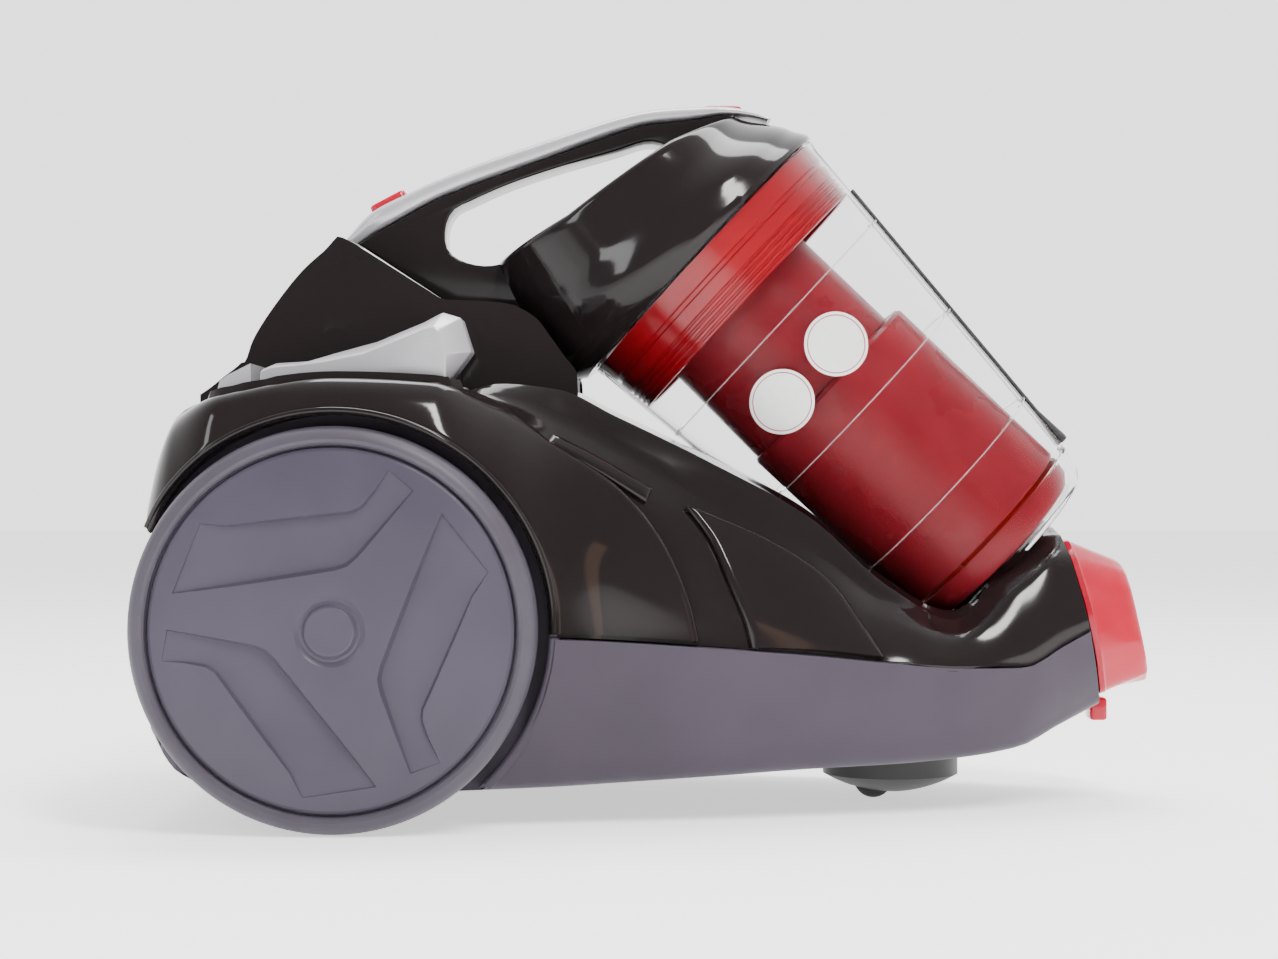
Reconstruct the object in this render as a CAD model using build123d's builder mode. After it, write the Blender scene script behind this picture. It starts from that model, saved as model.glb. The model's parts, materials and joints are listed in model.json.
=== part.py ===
"""Bagless canister vacuum cleaner, built as separate pieces.

Frame: +X towards the hose inlet, +Y to the cleaner's left, +Z up.
The origin is on the floor, under the centre of the object's box.
Outlines are lists of (x, z) points on the middle plane, or (y, z) points across it.
"""

import os
from math import cos, radians, sin

from build123d import *

os.makedirs("parts", exist_ok=True)

# ---------------------------------------------------------------- driving dimensions, mm
HALF_LENGTH = 210.5
HALF_WIDTH = 138.0
SKIN = 2.6
FIT_GAP = 0.4
RUNNING_GAP = 0.05
LIFT_GAP = 0.8

WHEEL_R = 80.0
AXLE_X = WHEEL_R - HALF_LENGTH
AXLE_R = 4.0
WHEEL_IN = 108.0
TYRE_R = 74.0
WELL_R = 85.0
WELL_IN = 100.0
PANEL_IN = 97.0

BIN_TILT = 43.0
BIN_FOOT = (150.5, 104.0)
CUP_H = 188.0
CUP_TOP = (68.2, 6.8)
CUP_FOOT = (50.8, 0.8)
CUP_WALL = 2.4
FLAP_H = 16.0
HINGE_P = -54.0
CRADLE_FLOOR_H = -LIFT_GAP - SKIN
DRUM_STEP_H = 110.0
BAND_H = 160.0

INLET_TILT = 12.5
INLET_R = 19.0
COLLAR_SEAM = (180.0, 74.0)
COLLAR_LENGTH = 24.8
PORT_P = -28.6
DUCT_R = 14.0

CASTER_X = 100.0
CASTER_R = 29.5
ROLLER_R = 8.5
ROLLER_TRAIL = 8.0

HANDLE_HALF = 16.0
PEDAL_IN = 62.0
PEDAL_OUT = 99.0
PEDAL_PIN = (-91.0, 191.0)

MOTOR = (-115.0, -36.6, 85.0)
MOTOR_R = 50.0
REEL = (-118.0, 85.0)
REEL_R = 61.0


def save(part, name):
    """Labels one finished piece and writes its STEP file."""
    part.label = name
    export_step(part, f"parts/{name}.step")


def mirrored(part):
    """The same piece on the other side of the middle plane."""
    return mirror(part, about=Plane.XZ)


def outline(points):
    """Adds a closed face through the points to the sketch being built."""
    Polygon(*points, align=None)


def side_prism(points, y_from, y_to):
    """A side-view (x, z) outline carried across from y_from to y_to."""
    with BuildPart() as prism:
        with BuildSketch(Plane.XZ.offset(-y_to)):
            outline(points)
        extrude(amount=y_to - y_from)
    return prism.part


def rod(x, z, radius, y_from, y_to):
    """A round bar across the cleaner, along Y."""
    with BuildPart() as bar:
        with BuildSketch(Plane.XZ.offset(-y_to)):
            with Locations((x, z)):
                Circle(radius)
        extrude(amount=y_to - y_from)
    return bar.part


def post(x, y, radius, z_from, z_to):
    """An upright round bar."""
    with BuildPart() as bar:
        with BuildSketch(Plane.XY.offset(z_from)):
            with Locations((x, y)):
                Circle(radius)
        extrude(amount=z_to - z_from)
    return bar.part


def block(x, y, z):
    """A rectangular block between pairs of limits."""
    with BuildPart() as brick:
        with BuildSketch(Plane.XY.offset(z[0])):
            with Locations(((x[0] + x[1]) / 2, (y[0] + y[1]) / 2)):
                Rectangle(x[1] - x[0], y[1] - y[0])
        extrude(amount=z[1] - z[0])
    return brick.part


# ---------------------------------------------------------------- body form
# Each station is a cross-section of the body, from tail to nose: its X, then the half width and
# height of the floor edge, the seam, the flank, the shoulder and the deck.
STATIONS = [
    (-207.0, (97, 34), (111, 79), (111, 112), (98, 133), (68, 148)),
    (-202.0, (102, 26), (116, 79), (117, 117), (106, 147), (82, 157)),
    (-196.0, (106, 20), (121, 79), (122, 120), (112, 156), (94, 166)),
    (-176.0, (112, 13), (130, 78), (131, 125), (122, 168), (102, 172)),
    (-130.0, (114, 13), (133, 77), (133, 150), (121, 178), (102, 172)),
    (-92.0, (112, 13), (132, 76.5), (132, 145), (117, 176), (101, 172)),
    (-66.0, (108, 13.5), (128, 76.5), (126, 130), (110, 163), (76, 186)),
    (-44.0, (104, 14), (117, 76), (114, 122), (103, 150), (75, 178)),
    (-20.0, (99, 15), (107, 74.5), (106, 110), (98, 137), (74, 165)),
    (20.0, (93, 17), (101, 71.5), (99, 92), (90, 115), (71, 144.5)),
    (60.0, (84, 19), (92, 68), (89, 80), (80, 98), (64, 121)),
    (95.0, (75, 20), (82, 64), (79, 70), (71, 80), (57, 91)),
    (122.0, (66, 21.5), (73, 61.5), (71, 66), (64, 74), (52, 80)),
    (150.0, (54, 25), (62, 61), (61, 72), (52, 92), (34, 108)),
    (168.0, (44, 33), (54, 69.5), (53, 82), (43, 104), (27, 115)),
    (200.0, (32, 48), (44, 86), (43, 90), (33, 105), (20, 110)),
]
SEAM_LINE = [(-230, 79), (-50, 76.3), (54, 68.2), (142, 59.5), (153, 61), (178, 74), (215, 92)]
FENDER_LINE = [(-230, 60), (-230, 150), (-196, 160), (-183, 168.6), (-159, 174.6), (-129, 178.6),
               (-105, 179.5), (-92, 177.5), (-77, 169.3), (-58, 158), (-41, 149.5), (-23.6, 138),
               (-10.6, 128.7), (0.6, 114.9), (7.5, 95.9), (12.6, 60)]


def body_ring(station, inset):
    """One whole cross-section as (y, z) points, moved inward by inset."""
    foot, seam, flank, shoulder, deck = station[1:]
    half = [
        (foot[0] - inset, foot[1] + inset),
        (seam[0] - inset, seam[1]),
        (flank[0] - inset, flank[1]),
        (shoulder[0] - inset, shoulder[1] - inset * 0.7),
        (deck[0] - inset * 0.6, deck[1] - inset),
    ]
    return half + [(-y, z) for y, z in reversed(half)]


def body_form(inset):
    """The body as one solid, faceted between its stations, shrunk by inset."""
    with BuildPart() as form:
        for number, station in enumerate(STATIONS):
            tail_shift = inset if number == 0 else 0
            with BuildSketch(Plane.YZ.offset(station[0] + tail_shift)):
                outline(body_ring(station, inset))
        loft(ruled=True)
    return form.part


# ---------------------------------------------------------------- bin form
UP_BIN = (-cos(radians(BIN_TILT)), sin(radians(BIN_TILT)))
ACROSS_BIN = (sin(radians(BIN_TILT)), cos(radians(BIN_TILT)))
# Height, radius and centre offset of the lid's round sections, from the seam up.
LID_SECTIONS = [(CUP_H + FIT_GAP, 71.5, 4.5), (197.0, 74.0, -1.0), (218.0, 66.0, -5.0), (254.0, 56.0, -2.0)]
LID_TOP = [(-73.2, 232.1), (-41.0, 249.5), (3.3, 282.0), (31.8, 297.2), (60.0, 312.0)]


def bin_point(h, p):
    """The (x, z) place at height h up the bin's axis and p across it."""
    x = BIN_FOOT[0] + h * UP_BIN[0] + p * ACROSS_BIN[0]
    z = BIN_FOOT[1] + h * UP_BIN[1] + p * ACROSS_BIN[1]
    return x, z


def bin_plane(h, p=0.0):
    """A plane square to the bin's axis, with its own x pointing up and forward."""
    x, z = bin_point(h, p)
    return Plane(origin=(x, 0, z), x_dir=(ACROSS_BIN[0], 0, ACROSS_BIN[1]), z_dir=(UP_BIN[0], 0, UP_BIN[1]))


def cup_section(h):
    """Outer radius and centre offset of the cup at height h."""
    t = h / CUP_H
    radius = CUP_FOOT[0] + (CUP_TOP[0] - CUP_FOOT[0]) * t
    offset = CUP_FOOT[1] + (CUP_TOP[1] - CUP_FOOT[1]) * t
    return radius, offset


def bin_loft(sections):
    """A solid through round sections (height, radius, offset) of the bin."""
    with BuildPart() as solid:
        for h, radius, offset in sections:
            with BuildSketch(bin_plane(h, offset)):
                Circle(radius)
        loft(ruled=True)
    return solid.part


def cup_solid(h_from, h_to, grow):
    """The cup's outer form between two heights, grown by a margin."""
    sections = []
    for h in (h_from, h_to):
        radius, offset = cup_section(h)
        sections.append((h, radius + grow, offset))
    return bin_loft(sections)


def lid_solid(grow):
    """The lid's outer form, grown by a margin, before its top is cut."""
    first, *middle, last = LID_SECTIONS
    sections = [(first[0] - grow, first[1] + grow, first[2])]
    sections += [(h, radius + grow, offset) for h, radius, offset in middle]
    sections.append((last[0] + grow, last[1] + grow, last[2]))
    return bin_loft(sections)


def drum(h_from, h_to, radius, offset=0.0):
    """A straight round solid along the bin's axis."""
    with BuildPart() as solid:
        with BuildSketch(bin_plane(h_from, offset)):
            Circle(radius)
        extrude(amount=h_to - h_from)
    return solid.part


BODY = body_form(0)
BODY_INSIDE = body_form(SKIN)
BIN_SPACE = cup_solid(-LIFT_GAP, CUP_H, LIFT_GAP)
BIN_CRADLE = cup_solid(-LIFT_GAP - SKIN, CUP_H, LIFT_GAP + SKIN)
LID_SPACE = lid_solid(LIFT_GAP)
HINGE_X, HINGE_Z = bin_point(FLAP_H, HINGE_P)
HINGE_SPACE = block((HINGE_X - 9, HINGE_X + 12), (-24, 24), (HINGE_Z - 12, HINGE_Z + 30))

NOSE_CUT = [(170.9, 114.7), (186.1, 45.8), (192.0, 10.0), (240.0, 10.0), (240.0, 180.0), (158.0, 180.0)]
BELOW_SEAM = SEAM_LINE + [(215, -20), (-230, -20)]
ABOVE_SEAM = SEAM_LINE + [(215, 260), (-230, 260)]
CRADLE_LINE = [(-47, 150), (-47, 199), (20, 156), (60, 124.5), (95, 98), (119, 82), (132, 87), (157, 113),
               (168, 116), (200, 116), (200, 40), (60, 40)]


# ---------------------------------------------------------------- base tray
# Each screw's x, y and the height of the tray's floor there.
SCREW_SPOTS = [(x, side * y, floor) for x, y, floor in ((-48, 84, 14), (48, 66, 18.4), (138, 40, 23.2))
               for side in (-1, 1)]
CASTER_BORE_R = 7.0
SCREW_HEAD_R = 4.0
DOOR_PIN = (-208.6, 70.0)
DOOR_PIN_R = 1.8

with BuildPart() as base_tray:
    add(BODY)
    add(BODY_INSIDE, mode=Mode.SUBTRACT)
    add(side_prism(BELOW_SEAM, -160, 160), mode=Mode.INTERSECT)
    for x, y, floor in SCREW_SPOTS:
        add(post(x, y, 6.5, floor + 1, floor + 30))
    add(post(CASTER_X, 0, 13, 21, 44))
    for side in (-1, 1):
        y_pair = sorted((side * 89.5, side * PANEL_IN))
        add(block((AXLE_X - 12, AXLE_X + 12), y_pair, (14.5, 92)))
        y_pair = sorted((side * PANEL_IN, side * 160))
        add(rod(AXLE_X, WHEEL_R, WELL_R + SKIN, *y_pair), mode=Mode.SUBTRACT)
    add(rod(AXLE_X, WHEEL_R, AXLE_R, -100, 100), mode=Mode.SUBTRACT)
    for x, y, floor in SCREW_SPOTS:
        add(post(x, y, 2.1, floor, floor + 26), mode=Mode.SUBTRACT)
        add(post(x, y, SCREW_HEAD_R + FIT_GAP, floor - 3, floor + 8), mode=Mode.SUBTRACT)
    add(post(CASTER_X, 0, CASTER_BORE_R, 10, 50), mode=Mode.SUBTRACT)
    add(side_prism(NOSE_CUT, -160, 160), mode=Mode.SUBTRACT)
    add(block((-212, -199), (66, 86), (52, 72)), mode=Mode.SUBTRACT)
    add(block((-212, -204), (-56, 56), (66.5, 90)), mode=Mode.SUBTRACT)
    for side in (-1, 1):
        add(block((-210.4, -205), sorted((side * 52.6, side * 56.5)), (66.4, 73.6)))
    add(rod(*DOOR_PIN, DOOR_PIN_R + RUNNING_GAP, -70, 70), mode=Mode.SUBTRACT)
    add(block((183, 197), (-9, 9), (30, 50)), mode=Mode.SUBTRACT)
save(base_tray.part, "base_tray")

# ---------------------------------------------------------------- upper shell with the bin cradle
with BuildPart() as cradle:
    add(BIN_CRADLE)
    add(side_prism(CRADLE_LINE, -160, 160), mode=Mode.INTERSECT)

with BuildPart() as upper_shell:
    add(BODY)
    add(BODY_INSIDE, mode=Mode.SUBTRACT)
    add(side_prism(ABOVE_SEAM, -160, 160), mode=Mode.INTERSECT)
    for side in (-1, 1):
        y_pair = sorted((side * PANEL_IN, side * 160))
        add(side_prism(FENDER_LINE, *y_pair), mode=Mode.SUBTRACT)
        y_pair = sorted((side * (PEDAL_IN - 1), side * (PANEL_IN - 1)))
        add(block((-167, -128), y_pair, (160, 180)), mode=Mode.SUBTRACT)
    add(cradle.part)
    add(BIN_SPACE, mode=Mode.SUBTRACT)
    add(LID_SPACE, mode=Mode.SUBTRACT)
    add(HINGE_SPACE, mode=Mode.SUBTRACT)
    add(drum(CRADLE_FLOOR_H - 1, 1, DUCT_R + 3.6, PORT_P), mode=Mode.SUBTRACT)
    add(side_prism(NOSE_CUT, -160, 160), mode=Mode.SUBTRACT)
    add(block((-212, -200), (-54, 54), (78, 140)), mode=Mode.SUBTRACT)
save(upper_shell.part, "upper_shell")

# ---------------------------------------------------------------- wheel-arch fenders and wells
with BuildPart() as left_fender:
    add(BODY)
    add(BODY_INSIDE, mode=Mode.SUBTRACT)
    add(side_prism(FENDER_LINE, PANEL_IN, 160), mode=Mode.INTERSECT)
    add(side_prism(ABOVE_SEAM, 0, 160), mode=Mode.INTERSECT)
    add(rod(AXLE_X, WHEEL_R, WELL_R, WELL_IN - 4, 160), mode=Mode.SUBTRACT)
for side_name, fender in (("left", left_fender.part), ("right", mirrored(left_fender.part))):
    save(fender, f"{side_name}_fender")

with BuildPart() as left_well:
    add(rod(AXLE_X, WHEEL_R, WELL_R + SKIN, PANEL_IN + FIT_GAP, 160))
    add(BODY_INSIDE, mode=Mode.INTERSECT)
    add(rod(AXLE_X, WHEEL_R, WELL_R, WELL_IN, 160), mode=Mode.SUBTRACT)
    add(rod(AXLE_X, WHEEL_R, AXLE_R + 0.5, 90, 110), mode=Mode.SUBTRACT)
with BuildPart() as wheel_wells:
    add(left_well.part)
    add(mirrored(left_well.part))
save(wheel_wells.part, "wheel_wells")


# ---------------------------------------------------------------- rear cover, tail trim, exhaust
HUMP_HALF = 52.0
HUMP_LINE = [(-203.0, 158.0), (-204.2, 172.0), (-194.8, 175.7), (-186.3, 182.1), (-176.3, 190.7),
             (-172.8, 200.4), (-164.0, 215.8), (-153.0, 231.2), (-139.8, 244.0), (-132.6, 240.0),
             (-93.4, 214.2), (-70.6, 213.4), (-47.0, 184.0), (-47.0, 174.0), (-90.0, 172.4)]
HUMP_SECTION = [(HUMP_HALF, 160), (HUMP_HALF, 192), (30, 246), (-30, 246), (-HUMP_HALF, 192), (-HUMP_HALF, 160)]


def hump_form(inset):
    """The hump behind the handle as one solid, shrunk by inset."""
    with BuildPart() as hump:
        with BuildSketch(Plane.XZ):
            outline(HUMP_LINE)
            if inset:
                offset(amount=-inset, kind=Kind.INTERSECTION, mode=Mode.REPLACE)
        extrude(amount=HUMP_HALF, both=True)
        with BuildSketch(Plane.YZ.offset(-215)):
            outline(HUMP_SECTION)
            if inset:
                offset(amount=-inset, kind=Kind.INTERSECTION, mode=Mode.REPLACE)
        extrude(amount=200, mode=Mode.INTERSECT)
    return hump.part


with BuildPart() as rear_cover:
    add(hump_form(0))
    add(hump_form(SKIN), mode=Mode.SUBTRACT)
    add(block((-190, -60), (-34, 34), (160, 180)), mode=Mode.SUBTRACT)
    add(BODY, mode=Mode.SUBTRACT)
    add(LID_SPACE, mode=Mode.SUBTRACT)
    add(BIN_SPACE, mode=Mode.SUBTRACT)
save(rear_cover.part, "rear_cover")

TRIM_LINE = [(-181.8, 171.6), (-179.9, 178.8), (-176.4, 181.4), (-167.5, 185.9), (-167.0, 172.6)]
with BuildPart() as tail_trims:
    for side in (-1, 1):
        add(side_prism(TRIM_LINE, *sorted((side * (HUMP_HALF + 1), side * 94))))
    add(BODY, mode=Mode.SUBTRACT)
save(tail_trims.part, "tail_trims")

DOOR_X = (-210.5, -207.6)
DOOR_Z = (70.0, 146.0)
DOOR_HALF = 62.0
with BuildPart() as exhaust_door:
    add(block(DOOR_X, (-DOOR_HALF, DOOR_HALF), DOOR_Z))
    edges = exhaust_door.edges().filter_by(Axis.X)
    fillet(edges, 8)
    with BuildSketch(Plane.YZ.offset(DOOR_X[0] - 1)):
        with Locations((0, sum(DOOR_Z) / 2 + 4)):
            with GridLocations(0, 8, 1, 6):
                SlotOverall(92, 3.6)
    extrude(amount=8, mode=Mode.SUBTRACT)
    for side in (-1, 1):
        add(block((-212, -206), sorted((side * 52.2, side * 64)), (60, 74)), mode=Mode.SUBTRACT)
        add(rod(*DOOR_PIN, DOOR_PIN_R, *sorted((side * 40, side * 56))))
save(exhaust_door.part, "exhaust_door")

with BuildPart() as exhaust_filter:
    add(block((-200, -190), (-52, 52), (80, 138)))
save(exhaust_filter.part, "exhaust_filter")

with BuildPart() as cord_gland:
    with BuildSketch(Plane.YZ.offset(-209.6)):
        with Locations((76, 62)):
            Circle(9)
    extrude(amount=2.4)
    with BuildSketch(Plane.YZ.offset(-207.2)):
        with Locations((76, 62)):
            Rectangle(19.2, 19.2)
    extrude(amount=8)
    with BuildSketch(Plane.YZ.offset(-211)):
        with Locations((76, 62)):
            Circle(4.2)
    extrude(amount=14, mode=Mode.SUBTRACT)
save(cord_gland.part, "cord_gland")

# ---------------------------------------------------------------- hose inlet
INLET_AXIS = (cos(radians(INLET_TILT)), sin(radians(INLET_TILT)))


def inlet_point(along, up=0.0):
    """The (x, z) place along the inlet axis from the collar's seam, and up across it."""
    x = COLLAR_SEAM[0] + along * INLET_AXIS[0] - up * INLET_AXIS[1]
    z = COLLAR_SEAM[1] + along * INLET_AXIS[1] + up * INLET_AXIS[0]
    return x, z


def inlet_plane(along):
    """A plane square to the inlet axis, facing out, with its own x to the left."""
    x, z = inlet_point(along)
    return Plane(origin=(x, 0, z), x_dir=(0, 1, 0), z_dir=(INLET_AXIS[0], 0, INLET_AXIS[1]))


COLLAR_ROOT = [(30, -28), (43, 2), (43, 12), (34, 30), (22, 39),
               (-22, 39), (-34, 30), (-43, 12), (-43, 2), (-30, -28)]
with BuildPart() as inlet_collar:
    with BuildSketch(inlet_plane(1.2)):
        outline(COLLAR_ROOT)
    with BuildSketch(inlet_plane(COLLAR_LENGTH)):
        with Locations((0, -2)):
            RectangleRounded(54, 54, 24)
    loft(ruled=True)
    with BuildSketch(inlet_plane(-10)):
        Circle(INLET_R + 3.2)
    extrude(amount=14)
    with BuildSketch(inlet_plane(-12)):
        Circle(INLET_R)
    extrude(amount=50, mode=Mode.SUBTRACT)
save(inlet_collar.part, "inlet_collar")

# The duct runs back from the collar, then turns up through the cradle's floor into the flap.
SEAM_P = (COLLAR_SEAM[0] - BIN_FOOT[0]) * ACROSS_BIN[0] + (COLLAR_SEAM[1] - BIN_FOOT[1]) * ACROSS_BIN[1]
P_PER_INLET_MM = INLET_AXIS[0] * ACROSS_BIN[0] + INLET_AXIS[1] * ACROSS_BIN[1]
ELBOW_ALONG = (PORT_P - SEAM_P) / P_PER_INLET_MM
ELBOW_X, ELBOW_Z = inlet_point(ELBOW_ALONG)
ELBOW_H = (ELBOW_X - BIN_FOOT[0]) * UP_BIN[0] + (ELBOW_Z - BIN_FOOT[1]) * UP_BIN[1]


def duct_form(radius, mouth):
    """The inlet duct as one solid of that radius, with its collar end at mouth."""
    with BuildPart() as duct:
        with BuildSketch(inlet_plane(ELBOW_ALONG)):
            Circle(radius)
        extrude(amount=mouth - ELBOW_ALONG)
        with Locations((ELBOW_X, 0, ELBOW_Z)):
            Sphere(radius)
        with BuildSketch(bin_plane(ELBOW_H, PORT_P)):
            Circle(radius)
        extrude(amount=CRADLE_FLOOR_H - ELBOW_H)
    return duct.part


with BuildPart() as inlet_duct:
    add(duct_form(DUCT_R + 2.4, -11))
    add(duct_form(DUCT_R, -10), mode=Mode.SUBTRACT)
    add(drum(CRADLE_FLOOR_H, 0, DUCT_R + 4, PORT_P), mode=Mode.SUBTRACT)
    add(drum(CRADLE_FLOOR_H - 2, 0, DUCT_R, PORT_P), mode=Mode.SUBTRACT)
save(inlet_duct.part, "inlet_duct")

with BuildPart() as inlet_seal:
    with BuildSketch(inlet_plane(-11)):
        Circle(INLET_R + 3)
        Circle(DUCT_R, mode=Mode.SUBTRACT)
    extrude(amount=1)
save(inlet_seal.part, "inlet_seal")

with BuildPart() as port_seal:
    add(drum(CRADLE_FLOOR_H, -0.3, DUCT_R + 3.5, PORT_P))
    add(drum(CRADLE_FLOOR_H - 1, 1, DUCT_R, PORT_P), mode=Mode.SUBTRACT)
save(port_seal.part, "port_seal")

with BuildPart() as hose_release_button:
    add(block((187, 194.4), (-7, 7), (33.6, 43.6)))
save(hose_release_button.part, "hose_release_button")

# ---------------------------------------------------------------- wheels and axles
AXLE_LINE = Axis((AXLE_X, 0, WHEEL_R), (0, 1, 0))
WHEEL_PLANE = Plane(origin=(AXLE_X, 0, WHEEL_R), x_dir=(1, 0, 0), z_dir=(0, 0, 1))
BORE_R = AXLE_R + RUNNING_GAP
COVER_OUT = 136.6
PANEL_DEPTH = 1.6
# One bent recess of the wheel cover as (forward, up) offsets from the axle, repeated three times.
COVER_RECESS = [(-50.6, 41.7), (-39.7, 40.6), (9.8, 45.9), (17.9, 54.5), (22.3, 63.0), (31.6, 55.1),
                (6.0, 25.2), (2.7, 22.8), (-61.0, 13.8)]


def wheel_ring(profile):
    """A round solid about the left axle from its (radius, y) profile."""
    with BuildPart() as ring:
        with BuildSketch(WHEEL_PLANE):
            outline(profile)
        revolve(axis=AXLE_LINE)
    return ring.part


with BuildPart() as left_wheel:
    add(wheel_ring([(BORE_R, 106.5), (10, 106.5), (10, 119), (70.6, 119), (70.6, WHEEL_IN), (TYRE_R, WHEEL_IN),
                    (TYRE_R, 130.8), (70.6, 130.8), (70.6, 122), (10, 122), (10, 129.6), (BORE_R, 129.6)]))
    with BuildSketch(Plane.XZ.offset(-WHEEL_IN - 1)):
        with Locations((AXLE_X, WHEEL_R)):
            with PolarLocations(40, 6):
                Rectangle(62, 2)
    extrude(amount=-10)

with BuildPart() as left_tyre:
    add(wheel_ring([(TYRE_R, WHEEL_IN), (78.4, WHEEL_IN), (WHEEL_R, 110), (WHEEL_R, 128), (78.8, 131.6),
                    (75.8, 134.4), (72.6, 135.2), (72.6, 131), (TYRE_R, 131)]))

with BuildPart() as left_wheel_cover:
    add(wheel_ring([(0, 133.6), (67, 131.6), (67, 131), (72.4, 131), (72.4, 134.2), (71, 135.4), (40, COVER_OUT),
                    (14, COVER_OUT), (14, HALF_WIDTH), (0, HALF_WIDTH)]))
    with BuildSketch(Plane.XZ.offset(-HALF_WIDTH)):
        with Locations((AXLE_X, WHEEL_R)):
            with PolarLocations(0, 3):
                outline(COVER_RECESS)
    extrude(amount=HALF_WIDTH - COVER_OUT + PANEL_DEPTH, mode=Mode.SUBTRACT)

for piece, name in ((left_wheel, "wheel"), (left_tyre, "tyre"), (left_wheel_cover, "wheel_cover")):
    save(piece.part, f"left_{name}")
    save(mirrored(piece.part), f"right_{name}")

with BuildPart() as wheel_axles:
    for side in (-1, 1):
        add(rod(AXLE_X, WHEEL_R, AXLE_R, *sorted((side * 87.3, side * 131.4))))
        add(rod(AXLE_X, WHEEL_R, 6.5, *sorted((side * 129.8, side * 131.4))))
        add(rod(AXLE_X, WHEEL_R, 7.5, *sorted((side * 87.3, side * 89.4))))
save(wheel_axles.part, "wheel_axles")

# ---------------------------------------------------------------- front caster
ROLLER_X = CASTER_X - ROLLER_TRAIL
CASTER_LINE = Axis((CASTER_X, 0, 0), (0, 0, 1))
with BuildPart() as caster_turntable:
    with BuildSketch(Plane(origin=(CASTER_X, 0, 0), x_dir=(1, 0, 0), z_dir=(0, -1, 0))):
        with BuildLine():
            ThreePointArc((0, 2.0), (15, 4.2), (CASTER_R, 10.3))
            Polyline((CASTER_R, 10.3), (CASTER_R, 18.6), (CASTER_BORE_R - RUNNING_GAP, 18.6),
                     (CASTER_BORE_R - RUNNING_GAP, 46), (0, 46), (0, 2.0))
        make_face()
    revolve(axis=CASTER_LINE)
    add(rod(ROLLER_X, ROLLER_R, ROLLER_R + 0.9, -9, 9), mode=Mode.SUBTRACT)
    add(block((ROLLER_X - 9.4, ROLLER_X + 9.4), (-9, 9), (-1, ROLLER_R)), mode=Mode.SUBTRACT)
    add(rod(ROLLER_X, ROLLER_R, 1.5, -14, 14), mode=Mode.SUBTRACT)
save(caster_turntable.part, "caster_turntable")

save(rod(ROLLER_X, ROLLER_R, 1.5, -14, 14), "caster_pin")

with BuildPart() as caster_roller:
    add(rod(ROLLER_X, ROLLER_R, ROLLER_R, -8, 8))
    fillet(caster_roller.edges().filter_by(GeomType.CIRCLE), 1.5)
    add(rod(ROLLER_X, ROLLER_R, 1.5 + RUNNING_GAP, -10, 10), mode=Mode.SUBTRACT)
save(caster_roller.part, "caster_roller")

with BuildPart() as case_screws:
    for x, y, floor in SCREW_SPOTS:
        add(post(x, y, SCREW_HEAD_R, floor + 5, floor + 8))
        add(post(x, y, 2.1, floor + 8, floor + 25))
save(case_screws.part, "case_screws")

# ---------------------------------------------------------------- pedals
PEDAL_LINE = [(-164.0, 183.7), (-163.8, 175.2), (-134.4, 179.0), (-108.0, 180.2), (-87.5, 179.2),
              (-78.6, 191.1), (-82.9, 204.8), (-90.4, 207.0), (-97.9, 203.0), (-116.8, 195.1),
              (-134.4, 190.3), (-143.2, 187.2), (-158.1, 186.3)]
PEDAL_PIN_R = 2.0
EAR = (54.6, 58.2)
with BuildPart() as power_pedal:
    add(side_prism(PEDAL_LINE, -PEDAL_OUT, -PEDAL_IN))
    add(post(-152, -80, 3, 159.5, 180))
    add(rod(*PEDAL_PIN, PEDAL_PIN_R + RUNNING_GAP, -PEDAL_OUT - 1, -PEDAL_IN + 1), mode=Mode.SUBTRACT)
    add(BODY, mode=Mode.SUBTRACT)
    add(post(-152, -80, 3, 159.5, 178))
save(power_pedal.part, "power_pedal")
save(mirrored(power_pedal.part), "rewind_pedal")

with BuildPart() as pedal_pins:
    for side in (-1, 1):
        add(rod(*PEDAL_PIN, PEDAL_PIN_R, *sorted((side * EAR[0], side * (PEDAL_OUT - 2)))))
save(pedal_pins.part, "pedal_pins")

with BuildPart() as pedal_brackets:
    for side in (-1, 1):
        add(block((-97, -85), sorted((side * EAR[0], side * EAR[1])), (165, 197)))
    add(BODY, mode=Mode.SUBTRACT)
    add(rod(*PEDAL_PIN, PEDAL_PIN_R, -70, 70), mode=Mode.SUBTRACT)
save(pedal_brackets.part, "pedal_brackets")

with BuildPart() as pedal_springs:
    for side in (-1, 1):
        y_pair = sorted((side * (EAR[1] + 0.3), side * (PEDAL_IN - 0.4)))
        add(rod(*PEDAL_PIN, 4.2, *y_pair))
        add(rod(*PEDAL_PIN, PEDAL_PIN_R + 0.3, *y_pair), mode=Mode.SUBTRACT)
save(pedal_springs.part, "pedal_springs")


# ---------------------------------------------------------------- suction motor
def barrel(x_from, x_to, radius, bore=0.0):
    """A round bar or tube on the motor's axis, along X."""
    with BuildPart() as tube:
        with BuildSketch(Plane.YZ.offset(x_from)):
            with Locations(MOTOR[1:]):
                Circle(radius)
                if bore:
                    Circle(bore, mode=Mode.SUBTRACT)
        extrude(amount=x_to - x_from)
    return tube.part


with BuildPart() as motor_housing:
    add(barrel(-165, -65, MOTOR_R))
    add(block((-150, -80), (-62, -14), (15.9, 60)))
    add(barrel(-162.5, -67.5, MOTOR_R - 2.5), mode=Mode.SUBTRACT)
    add(barrel(-170, -60, 18), mode=Mode.SUBTRACT)
save(motor_housing.part, "motor_housing")

with BuildPart() as motor_mounts:
    for x in (-150, -106):
        add(barrel(x, x + 6, MOTOR_R - 2.6, 34.6))
save(motor_mounts.part, "motor_mounts")

with BuildPart() as stator:
    add(barrel(-152, -98, 34.5, 22))
    add(barrel(-158, -152, 34.5, 9.0))
    add(barrel(-98, -92, 34.5, 9.0))
save(stator.part, "stator")

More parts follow.
